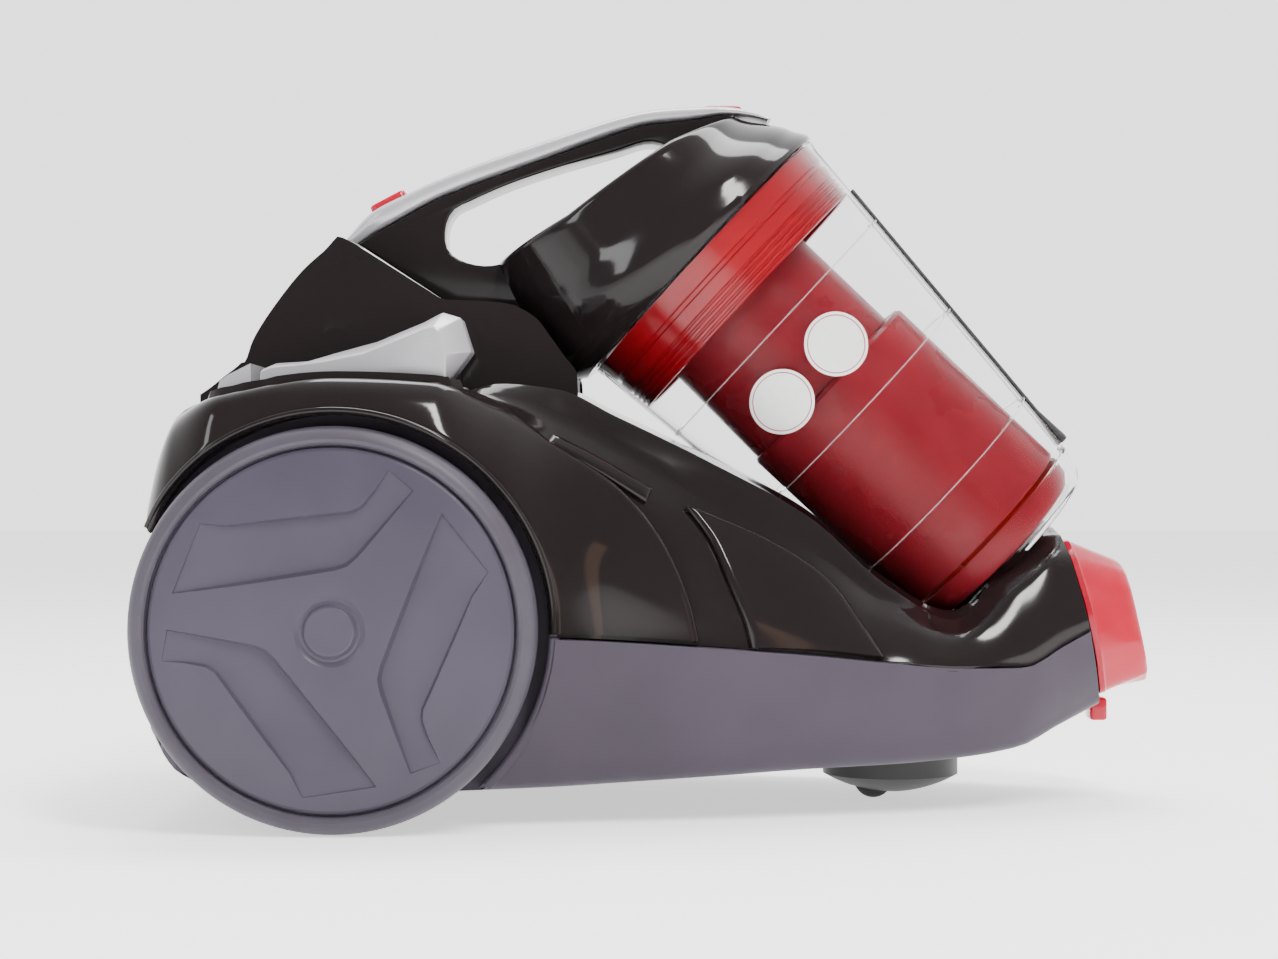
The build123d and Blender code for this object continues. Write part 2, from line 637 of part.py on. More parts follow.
with BuildPart() as motor_bearings:
    add(barrel(-158, -152.5, 9.0, 3.05))
    add(barrel(-97.5, -92, 9.0, 3.05))
save(motor_bearings.part, "motor_bearings")

save(barrel(-160, -73, 3.0), "rotor_shaft")
with BuildPart() as armature:
    add(barrel(-136, -103, 21, 3.0))
    add(barrel(-150, -138, 11, 3.0))
save(armature.part, "armature")

with BuildPart() as impeller:
    add(barrel(-86, -84.5, 40, 3.0))
    add(barrel(-84.5, -76, 10, 3.0))
    with BuildSketch(Plane.YZ.offset(-84.5)):
        with Locations(MOTOR[1:]):
            with PolarLocations(24, 9):
                Rectangle(29, 1.4, rotation=25)
    extrude(amount=7)
save(impeller.part, "impeller")

with BuildPart() as fan_cover:
    add(barrel(-90, -70.5, 44))
    add(barrel(-88.5, -72, 42.5), mode=Mode.SUBTRACT)
    add(barrel(-73, -69, 16), mode=Mode.SUBTRACT)
    add(barrel(-91, -88, 10), mode=Mode.SUBTRACT)
save(fan_cover.part, "fan_cover")

# ---------------------------------------------------------------- cord reel and electrics
with BuildPart() as reel_frame:
    add(block((REEL[0] - 20, REEL[0] + 20), (17, 20), (15.9, 105)))
    add(rod(*REEL, 5, 17, 84))
save(reel_frame.part, "reel_frame")

with BuildPart() as reel_drum:
    add(rod(*REEL, 30, 24, 82))
    add(rod(*REEL, REEL_R, 22, 24.6))
    add(rod(*REEL, REEL_R, 79.6, 82.2))
    add(rod(*REEL, 27, 26, 90), mode=Mode.SUBTRACT)
    add(rod(*REEL, 5 + RUNNING_GAP, 15, 90), mode=Mode.SUBTRACT)
save(reel_drum.part, "reel_drum")

with BuildPart() as reel_spring_case:
    add(rod(*REEL, 25, 29, 81))
    add(rod(*REEL, 5, 28, 90), mode=Mode.SUBTRACT)
save(reel_spring_case.part, "reel_spring_case")

with BuildPart() as control_board:
    add(block((-38, 22), (-30, 30), (30, 31.6)))
    for x in (-34, 18):
        for y in (-26, 26):
            add(post(x, y, 2.5, 20.2, 30))
    for x, y, size, height in ((-22, -12, 14, 12), (-2, 14, 10, 18), (10, -10, 8, 8)):
        add(block((x - size / 2, x + size / 2), (y - size / 2, y + size / 2), (31.6, 31.6 + height)))
save(control_board.part, "control_board")

with BuildPart() as power_switch:
    add(block((-162, -142), (-97.2, -70), (132, 152)))
    add(post(-152, -80, 2.4, 152, 155.5))
save(power_switch.part, "power_switch")


# ---------------------------------------------------------------- dust bin
KNUCKLE_R = 3.6
KNUCKLE_Y = 12.0
LUG_Y = (12.4, 20.0)
PIN_R = 1.5


def hinge_rod(radius, y_from, y_to):
    """A round bar along the flap's hinge."""
    return rod(HINGE_X, HINGE_Z, radius, y_from, y_to)


with BuildPart() as dust_cup:
    add(cup_solid(FLAP_H + 0.3, CUP_H, 0))
    for side in (-1, 1):
        add(hinge_rod(KNUCKLE_R, *sorted((side * LUG_Y[0], side * LUG_Y[1]))))
        with BuildSketch(bin_plane(FLAP_H + 0.3, HINGE_P + 5)):
            with Locations((0, side * sum(LUG_Y) / 2)):
                Rectangle(12, LUG_Y[1] - LUG_Y[0])
        extrude(amount=8)
    add(cup_solid(FLAP_H - 2, CUP_H + 2, -CUP_WALL), mode=Mode.SUBTRACT)
    add(hinge_rod(KNUCKLE_R + 0.5, -LUG_Y[0], LUG_Y[0]), mode=Mode.SUBTRACT)
    add(hinge_rod(PIN_R, -30, 30), mode=Mode.SUBTRACT)
save(dust_cup.part, "dust_cup")

foot_r, foot_p = cup_section(0)
low_r, low_p = cup_section(5)
rim_r, rim_p = cup_section(FLAP_H)
with BuildPart() as cup_flap:
    add(bin_loft([(0, foot_r - 5, foot_p), (5, low_r - 0.6, low_p), (FLAP_H, rim_r, rim_p)]))
    add(cup_solid(3, FLAP_H + 2, -CUP_WALL - 4.2), mode=Mode.SUBTRACT)
    add(drum(0, FLAP_H - 1, DUCT_R + 2, PORT_P + 4))
    add(drum(-2, FLAP_H + 2, DUCT_R, PORT_P), mode=Mode.SUBTRACT)
    for side in (-1, 1):
        y_pair = sorted((side * KNUCKLE_Y, side * (LUG_Y[1] + 0.5)))
        add(hinge_rod(KNUCKLE_R + 0.6, *y_pair), mode=Mode.SUBTRACT)
    add(hinge_rod(KNUCKLE_R, -KNUCKLE_Y, KNUCKLE_Y))
    add(hinge_rod(PIN_R + RUNNING_GAP, -30, 30), mode=Mode.SUBTRACT)
save(cup_flap.part, "cup_flap")
save(hinge_rod(PIN_R, -LUG_Y[1], LUG_Y[1]), "flap_hinge_pin")

with BuildPart() as flap_catch:
    with BuildSketch(bin_plane(FLAP_H + 1, rim_p + rim_r + 1.6)):
        Rectangle(5, 14)
    extrude(amount=20)
    add(cup_solid(FLAP_H, FLAP_H + 40, 0), mode=Mode.SUBTRACT)
save(flap_catch.part, "flap_catch")

FRONT_BUTTON = (17.4, 34.6)
FRONT_POCKET = block((FRONT_BUTTON[0] - 0.6, FRONT_BUTTON[1] + 0.6), (-8.6, 8.6), (294.4, 310))
BELOW_LID_TOP = LID_TOP + [(200, 312), (200, 0), (-200, 0), (-200, 155)]
with BuildPart() as lid:
    add(lid_solid(0))
    add(side_prism(BELOW_LID_TOP, -100, 100), mode=Mode.INTERSECT)
    lid_inside = bin_loft([(h, radius - SKIN, offset) for h, radius, offset in
                           [(CUP_H - 2, LID_SECTIONS[0][1], LID_SECTIONS[0][2]), *LID_SECTIONS[1:]]])
    lid_hollow = lid_inside & Pos(0, 0, -SKIN - 1) * side_prism(BELOW_LID_TOP, -100, 100)
    add(lid_hollow, mode=Mode.SUBTRACT)
    add(FRONT_POCKET, mode=Mode.SUBTRACT)
save(lid.part, "lid")

SEAL_P = 5.6
with BuildPart() as lid_seal:
    add(drum(CUP_H, CUP_H + 3, 66, SEAL_P))
    add(drum(CUP_H - 1, CUP_H + 4, 61, SEAL_P), mode=Mode.SUBTRACT)
save(lid_seal.part, "lid_seal")

# The red band, the shroud, the cone and the lower drum hang inside the clear cup.
PLATE_H = CUP_H - 3.2
SHROUD_P = 1.0
SHROUD_R = 41.0
with BuildPart() as cyclone_band:
    add(cup_solid(BAND_H, CUP_H - 0.4, -CUP_WALL - 0.4))
    add(cup_solid(BAND_H - 1, PLATE_H, -CUP_WALL - 3.0), mode=Mode.SUBTRACT)
    add(drum(PLATE_H - 1, CUP_H + 1, 30, SHROUD_P), mode=Mode.SUBTRACT)
save(cyclone_band.part, "cyclone_band")

with BuildPart() as shroud:
    add(drum(DRUM_STEP_H, PLATE_H, SHROUD_R, SHROUD_P))
    add(drum(DRUM_STEP_H - 1, PLATE_H + 1, SHROUD_R - 2.2, SHROUD_P), mode=Mode.SUBTRACT)
save(shroud.part, "shroud")

DRUM_TOP = (45.8, 2.6)
DRUM_FOOT = (45.2, 2.2)
with BuildPart() as dust_drum:
    add(bin_loft([(FLAP_H + 1.5, *DRUM_FOOT), (DRUM_STEP_H - 4, DRUM_TOP[0], DRUM_TOP[1]),
                  (DRUM_STEP_H, DRUM_TOP[0] - 3, DRUM_TOP[1] + 0.6)]))
    add(bin_loft([(FLAP_H, DRUM_FOOT[0] - 2.2, DRUM_FOOT[1]), (DRUM_STEP_H - 2.2, DRUM_TOP[0] - 5, DRUM_TOP[1])]),
        mode=Mode.SUBTRACT)
    add(drum(FLAP_H + 1.5, DRUM_STEP_H - 1, DUCT_R + 1.8, PORT_P + 1.6))
    add(drum(FLAP_H, DRUM_STEP_H - 2.2, DUCT_R, PORT_P + 1.6), mode=Mode.SUBTRACT)
    add(drum(DRUM_STEP_H - 5, DRUM_STEP_H + 1, 18, SHROUD_P + 10), mode=Mode.SUBTRACT)
save(dust_drum.part, "dust_drum")

with BuildPart() as cyclone_cone:
    add(bin_loft([(DRUM_STEP_H + 8, 12, SHROUD_P), (PLATE_H, 36, SHROUD_P)]))
    add(bin_loft([(DRUM_STEP_H + 7, 9.6, SHROUD_P), (PLATE_H - 2.4, 33.8, SHROUD_P)]), mode=Mode.SUBTRACT)
    add(drum(PLATE_H - 30, PLATE_H, 15, SHROUD_P))
    add(drum(PLATE_H - 31, PLATE_H + 1, 13, SHROUD_P), mode=Mode.SUBTRACT)
save(cyclone_cone.part, "cyclone_cone")

with BuildPart() as premotor_filter:
    add(drum(194, 208, 54, -2))
    fillet(premotor_filter.edges(), 2)
save(premotor_filter.part, "premotor_filter")

# ---------------------------------------------------------------- handle
HAND_HOLE = [(-90.6, 256.4), (-94.1, 250.4), (-94.1, 239.9), (-88.9, 234.7), (-73.2, 232.1), (-41, 249.5),
             (3.3, 282), (-1, 285.2), (-7.1, 286), (-21, 281.7), (-45.4, 274.7), (-68, 266.9), (-83.7, 259.9)]
SKIN_UNDERSIDE = [(-132.3, 241.3), (-122.2, 247.5), (-98, 261.1), (-54, 277.4), (-10, 292.8), (12, 295.2),
                  (26, 297.6)]
SKIN_TOP = [(-138.5, 244.4), (-127.9, 255.4), (-111.2, 264.2), (-91.4, 273.0), (-54, 286.2), (-10, 299.4),
            (16.4, 301.6), (34.9, 300.7), (47.2, 296.3)]
BASE_LINE = SKIN_UNDERSIDE + [(31.8, 297.2), (3.3, 282), (-41, 249.5), (-73.2, 232.1), (-70.6, 214.8), (-93, 215.6)]
BACK_BUTTON = ((-119.6, 259.6), 27.8)


def back_button(length, depth, proud, half_width):
    """A block square to the handle's top at the rear button."""
    (x, z), slope = BACK_BUTTON
    face = Plane(origin=(x, 0, z), x_dir=(cos(radians(slope)), 0, sin(radians(slope))),
                 z_dir=(-sin(radians(slope)), 0, cos(radians(slope))))
    with BuildPart() as key:
        with BuildSketch(face.offset(-depth)):
            RectangleRounded(length, 2 * half_width, 3)
        extrude(amount=depth + proud)
    return key.part


with BuildPart() as handle_base:
    add(side_prism(BASE_LINE, -HANDLE_HALF + 1.5, HANDLE_HALF - 1.5))
    add(side_prism(HAND_HOLE, -30, 30), mode=Mode.SUBTRACT)
    add(FRONT_POCKET, mode=Mode.SUBTRACT)
    add(lid.part, mode=Mode.SUBTRACT)
save(handle_base.part, "handle_base")

with BuildPart() as handle_skin:
    add(side_prism(SKIN_TOP + [(45, 294.1), (31.8, 297.3)] + SKIN_UNDERSIDE[::-1], -HANDLE_HALF, HANDLE_HALF))
    add(back_button(18, 9, 10, 8.5), mode=Mode.SUBTRACT)
    add(FRONT_POCKET, mode=Mode.SUBTRACT)
    add(lid.part, mode=Mode.SUBTRACT)
save(handle_skin.part, "handle_skin")
save(back_button(17, 5.5, 3, 8), "bin_release_button")
with BuildPart() as flap_button:
    add(block(FRONT_BUTTON, (-8, 8), (297.2, 303)))
    fillet(flap_button.edges().filter_by(Axis.Z), 3)
save(flap_button.part, "flap_button")

# ---------------------------------------------------------------- badges on the cup's right side
BADGE_R = 13.5
BADGE_SPOTS = [(120, -19.6), (120, 13.2)]
with BuildPart() as badges:
    for h, p in BADGE_SPOTS:
        x, z = bin_point(h, p)
        add(rod(x, z, BADGE_R, -90, -30))
    add(cup_solid(90, 150, 0.6), mode=Mode.INTERSECT)
    add(cup_solid(80, 160, 0), mode=Mode.SUBTRACT)
save(badges.part, "badges")
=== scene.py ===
"""Looks of the bagless canister vacuum cleaner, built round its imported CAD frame.

Lengths in the tables are millimetres in the frame's axes: +X to the hose inlet, +Y to the cleaner's
left, +Z up. Every mesh is scaled to metres when it is made.
"""
import json
from math import cos, pi, radians, sin

import bmesh
import bpy
import numpy as np
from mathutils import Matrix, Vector


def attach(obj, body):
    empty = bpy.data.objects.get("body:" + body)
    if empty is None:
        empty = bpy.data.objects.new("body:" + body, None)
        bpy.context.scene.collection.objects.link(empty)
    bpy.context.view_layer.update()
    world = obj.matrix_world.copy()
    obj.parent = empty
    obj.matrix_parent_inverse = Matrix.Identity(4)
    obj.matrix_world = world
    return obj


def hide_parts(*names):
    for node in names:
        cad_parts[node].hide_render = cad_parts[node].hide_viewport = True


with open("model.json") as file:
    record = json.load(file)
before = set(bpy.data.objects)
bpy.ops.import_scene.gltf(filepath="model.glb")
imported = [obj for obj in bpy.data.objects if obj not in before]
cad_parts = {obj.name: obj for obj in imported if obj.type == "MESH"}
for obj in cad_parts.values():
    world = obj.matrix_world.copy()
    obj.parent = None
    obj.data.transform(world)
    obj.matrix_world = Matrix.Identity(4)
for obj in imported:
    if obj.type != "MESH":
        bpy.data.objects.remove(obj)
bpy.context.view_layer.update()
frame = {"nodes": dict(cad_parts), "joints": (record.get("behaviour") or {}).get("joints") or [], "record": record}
MM = 0.001
WELD = 0.002

# ---------------------------------------------------------------- places taken from the frame
JOINTS = {joint["name"]: joint for joint in frame["joints"]}
AXLE_X, _, AXLE_Z = [value / MM for value in JOINTS["right_wheel_spin"]["pos_m"]]
MOUNTS = {mount["name"]: mount for mount in frame["record"]["mounts"]}
INLET_R = MOUNTS["hose_inlet"]["dims"]["r_mm"]

# ---------------------------------------------------------------- driving sizes, mm
WELL_R = 85.0
BIN_TILT = radians(43.0)
BIN_FOOT = (150.5, 104.0)
CUP_H = 188.0
CUP_TOP = (68.2, 6.8)
CUP_FOOT = (50.8, 0.8)
CUP_WALL = 1.5
FLAP_H = 16.0
BIN_GAP = 1.2
DRUM_STEP_H = 110.0
BAND_H = 160.0
UP_BIN = np.array([-cos(BIN_TILT), sin(BIN_TILT)])
ACROSS_BIN = np.array([sin(BIN_TILT), cos(BIN_TILT)])


# ---------------------------------------------------------------- curves
def cubic_line(keys, values, slopes, at):
    """Values at any places along cubic pieces through (keys, values) with those slopes."""
    index = np.clip(np.searchsorted(keys, at, side="right") - 1, 0, len(keys) - 2)
    width = np.diff(keys)[index][:, None]
    t = (at - keys[index])[:, None] / width
    blend_a, blend_b = 2 * t**3 - 3 * t**2 + 1, 3 * t**2 - 2 * t**3
    ends = blend_a * values[index] + blend_b * values[index + 1]
    return ends + ((t**3 - 2 * t**2 + t) * slopes[index] + (t**3 - t**2) * slopes[index + 1]) * width


def around(count):
    """Even angles round a full turn."""
    return np.linspace(0, 2 * pi, count, endpoint=False)


def smooth_table(keys, at):
    """Values of a table of (place, value...) rows at any places, by monotone cubic steps."""
    rows = np.array(keys, float)
    place, values = rows[:, 0], rows[:, 1:]
    at = np.clip(np.atleast_1d(np.asarray(at, float)), place[0], place[-1])
    slope = np.diff(values, axis=0) / np.diff(place)[:, None]
    tangent = np.zeros_like(values)
    tangent[0], tangent[-1] = slope[0], slope[-1]
    same = slope[:-1] * slope[1:] > 0
    harmonic = 2 * slope[:-1] * slope[1:] / np.where(same, slope[:-1] + slope[1:], 1)
    tangent[1:-1] = np.where(same, harmonic, 0)
    return cubic_line(place, values, tangent, at)


def smooth_line(points, count, closed=False):
    """A smooth line through points, resampled to count points by a centripetal spline."""
    p = np.array(points, float)
    if closed:
        p = np.vstack([p, p[:1]])
    gaps = np.sqrt(np.linalg.norm(np.diff(p, axis=0), axis=1)) + 1e-9
    knots = np.concatenate([[0], np.cumsum(gaps)])
    tangents = np.zeros_like(p)
    slope = np.diff(p, axis=0) / gaps[:, None]
    before, after = gaps[:-1, None], gaps[1:, None]
    tangents[1:-1] = (slope[:-1] * after + slope[1:] * before) / (before + after)
    tangents[0], tangents[-1] = slope[0], slope[-1]
    if closed:
        tangents[0] = tangents[-1] = (slope[0] + slope[-1]) / 2
    fine = cubic_line(knots, p, tangents, np.linspace(0, knots[-1], count * 8))
    return resample(fine, count + 1 if closed else count)[: count]


def resample(points, count):
    """Evenly spaced points along a polyline."""
    p = np.array(points, float)
    run = np.concatenate([[0], np.cumsum(np.linalg.norm(np.diff(p, axis=0), axis=1))])
    at = np.linspace(0, run[-1], count)
    return np.column_stack([np.interp(at, run, p[:, k]) for k in range(p.shape[1])])


def smoothstep(low, high, value):
    """0 below low, 1 above high, smooth between."""
    t = np.clip((np.asarray(value, float) - low) / (high - low), 0, 1)
    return t * t * (3 - 2 * t)


def bin_point(h, p):
    """The (x, z) place at height h up the bin's axis and p across it."""
    return np.array(BIN_FOOT) + h * UP_BIN + p * ACROSS_BIN


# ---------------------------------------------------------------- meshes
def mesh_object(name, verts, faces, sharp=32.0):
    """An object from millimetre vertices, smooth with sharp edges past an angle."""
    mesh = bpy.data.meshes.new(name)
    mesh.from_pydata([tuple(np.asarray(v, float) * MM) for v in verts], [], [tuple(f) for f in faces])
    mesh.validate()
    piece = bpy.data.objects.new(name, mesh)
    bpy.context.scene.collection.objects.link(piece)
    return settle(piece, sharp)


def settle(piece, sharp=32.0):
    """Welds doubles, turns the faces outward, and shades smooth up to the sharp angle."""
    work = bmesh.new()
    work.from_mesh(piece.data)
    bmesh.ops.remove_doubles(work, verts=work.verts, dist=WELD * MM)
    bmesh.ops.dissolve_degenerate(work, edges=work.edges, dist=WELD * MM)
    bmesh.ops.recalc_face_normals(work, faces=work.faces)
    work.to_mesh(piece.data)
    work.free()
    return shade(piece, sharp)


def shade(piece, sharp):
    """Smooth shading with sharp edges past an angle."""
    piece.data.shade_smooth()
    piece.data.set_sharp_from_angle(angle=radians(sharp))
    return piece


def apply_modifiers(piece, sharp=32.0):
    """Replaces the piece's mesh with its evaluated one."""
    bpy.context.view_layer.update()
    graph = bpy.context.evaluated_depsgraph_get()
    mesh = bpy.data.meshes.new_from_object(piece.evaluated_get(graph))
    piece.modifiers.clear()
    piece.data = mesh
    return shade(piece, sharp)


def bevelled(piece, width, segments=3, angle=30.0, sharp=32.0):
    """Rounds the piece's hard edges by that width in millimetres."""
    bevel = piece.modifiers.new("bevel", "BEVEL")
    bevel.width = width * MM
    bevel.segments = segments
    bevel.limit_method = "ANGLE"
    bevel.angle_limit = radians(angle)
    bevel.use_clamp_overlap = True
    return apply_modifiers(piece, sharp)


def thickened(piece, thickness, sharp=32.0):
    """Gives an open sheet its wall, inward."""
    solid = piece.modifiers.new("wall", "SOLIDIFY")
    solid.thickness = thickness * MM
    solid.offset = -1
    solid.use_even_offset = False
    return apply_modifiers(piece, sharp)


def cut(piece, cutter, sharp=32.0):
    """Takes the cutter out of the piece, then removes the cutter."""
    bool_cut = piece.modifiers.new("cut", "BOOLEAN")
    bool_cut.object = cutter
    bool_cut.operation = "DIFFERENCE"
    bool_cut.solver = "EXACT"
    apply_modifiers(piece, sharp)
    bpy.data.objects.remove(cutter)
    return piece


def grid_faces(rows, columns, close_rows=False, close_columns=False):
    """Quads of a rows by columns grid of vertices."""
    faces = []
    for r in range(rows if close_rows else rows - 1):
        for c in range(columns if close_columns else columns - 1):
            d = (r + 1) % rows
            e = (c + 1) % columns
            faces.append((r * columns + c, r * columns + e, d * columns + e, d * columns + c))
    return faces


def loft(name, rings, sharp=32.0):
    """A skin through rings of equal point counts, with flat end caps."""
    rings = [np.asarray(ring, float) for ring in rings]
    count = len(rings[0])
    verts = np.vstack(rings)
    faces = grid_faces(len(rings), count, close_columns=True)
    faces.append(tuple(range(count)))
    faces.append(tuple(range(len(verts) - 1, len(verts) - 1 - count, -1)))
    return mesh_object(name, verts, faces, sharp)


def flat_ring(outline, y):
    """An (x, z) outline stood at y."""
    outline = np.asarray(outline, float)
    return np.column_stack([outline[:, 0], np.full(len(outline), y), outline[:, 1]])


def prism(name, outline, y_from, y_to, sharp=32.0):
    """A closed (x, z) outline carried from y_from to y_to."""
    return loft(name, [flat_ring(outline, y_from), flat_ring(outline, y_to)], sharp)


def box_piece(name, x, y, z):
    """A plain block between pairs of limits, for cutting or for bevelling."""
    return prism(name, [(x[0], z[0]), (x[1], z[0]), (x[1], z[1]), (x[0], z[1])], *y)


def lathe(name, profile, centre, axis="Y", steps=96, sharp=30.0):
    """A closed (radius, along) profile turned about an axis through centre."""
    profile = np.asarray(profile, float)
    rings = []
    for angle in around(steps):
        radius, along = profile[:, 0], profile[:, 1]
        if axis == "Y":
            ring = np.column_stack([radius * cos(angle), along, radius * sin(angle)])
        else:
            ring = np.column_stack([radius * cos(angle), radius * sin(angle), along])
        rings.append(ring + np.asarray(centre, float))
    return closed_tube(name, rings, sharp)


def bin_ring(h, radius, offset, steps=96):
    """A circle square to the bin's axis."""
    ring = []
    for angle in around(steps):
        x, z = bin_point(h, offset + radius * cos(angle))
        ring.append((x, radius * sin(angle), z))
    return np.array(ring)


def bin_shell(name, outer, inner, steps=96, sharp=30.0):
    """A closed round wall: (h, radius, offset) rows up the outside, then down the inside."""
    rings = [bin_ring(*row, steps) for row in list(outer) + list(inner)]
    return closed_tube(name, rings, sharp)


def closed_tube(name, rings, sharp):
    """A skin through rings that closes on itself both ways."""
    faces = grid_faces(len(rings), len(rings[0]), close_rows=True, close_columns=True)
    return mesh_object(name, np.vstack(rings), faces, sharp)


def mirrored(piece, name):
    """A copy on the other side of the middle plane."""
    copy = piece.copy()
    copy.data = piece.data.copy()
    copy.name = name
    for vertex in copy.data.vertices:
        vertex.co.y = -vertex.co.y
    copy.data.flip_normals()
    bpy.context.scene.collection.objects.link(copy)
    return copy


def join(name, pieces, sharp=32.0):
    """One object from several, as separate closed parts."""
    verts, faces, start = [], [], 0
    for piece in pieces:
        verts += [v.co / MM for v in piece.data.vertices]
        faces += [[start + i for i in face.vertices] for face in piece.data.polygons]
        start = len(verts)
        bpy.data.objects.remove(piece)
    return mesh_object(name, verts, faces, sharp)


def place(piece, body, slot, node, material=None):
    """Puts a piece under its body, gives it the material of its slot or the one named, and hides the CAD node that
    it stands for.
    """
    piece.data.materials.clear()
    piece.data.materials.append(MATERIALS[material or slot])
    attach(piece, body)
    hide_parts(node)


# ---------------------------------------------------------------- materials
def shader(name, colour, roughness, **extra):
    """A Principled material; extra names are its other sockets."""
    material = bpy.data.materials.new(name)
    material.use_nodes = True
    principled = material.node_tree.nodes["Principled BSDF"]
    principled.inputs["Base Color"].default_value = (*colour, 1)
    principled.inputs["Roughness"].default_value = roughness
    for socket, value in extra.items():
        principled.inputs[socket.replace("_", " ")].default_value = value
    return material


def add_node(material, kind, **values):
    node = material.node_tree.nodes.new(kind)
    for key, value in values.items():
        if key in node.inputs:
            node.inputs[key].default_value = value
        else:
            setattr(node, key, value)
    return node


def object_coords(material):
    return add_node(material, "ShaderNodeTexCoord").outputs["Object"]


def vary_colour(material, colours, scale):
    """Moves the base colour a little between two tints."""
    links = material.node_tree.links
    noise = add_node(material, "ShaderNodeTexNoise", Scale=scale, Detail=3.0)
    ramp = add_node(material, "ShaderNodeValToRGB")
    ramp.color_ramp.elements[0].position, ramp.color_ramp.elements[1].position = 0.35, 0.65
    ramp.color_ramp.elements[0].color = (*colours[0], 1)
    ramp.color_ramp.elements[1].color = (*colours[1], 1)
    links.new(object_coords(material), noise.inputs["Vector"])
    links.new(noise.outputs["Fac"], ramp.inputs["Fac"])
    links.new(ramp.outputs["Color"], material.node_tree.nodes["Principled BSDF"].inputs["Base Color"])


def vary_roughness(material, low, high, scale):
    """Moves the roughness between two values, as handling and dust do."""
    links = material.node_tree.links
    noise = add_node(material, "ShaderNodeTexNoise", Scale=scale, Detail=5.0)
    spread = add_node(material, "ShaderNodeMapRange")
    spread.inputs["From Min"].default_value, spread.inputs["From Max"].default_value = 0.35, 0.7
    spread.inputs["To Min"].default_value, spread.inputs["To Max"].default_value = low, high
    links.new(object_coords(material), noise.inputs["Vector"])
    links.new(noise.outputs["Fac"], spread.inputs["Value"])
    links.new(spread.outputs["Result"], material.node_tree.nodes["Principled BSDF"].inputs["Roughness"])


def grain(material, scale, depth, strength=0.4, detail=4.0):
    """Fine surface bump of that depth in metres."""
    links = material.node_tree.links
    noise = add_node(material, "ShaderNodeTexNoise", Scale=scale, Detail=detail)
    bump = add_node(material, "ShaderNodeBump", Strength=strength, Distance=depth)
    links.new(object_coords(material), noise.inputs["Vector"])
    links.new(noise.outputs["Fac"], bump.inputs["Height"])
    links.new(bump.outputs["Normal"], material.node_tree.nodes["Principled BSDF"].inputs["Normal"])


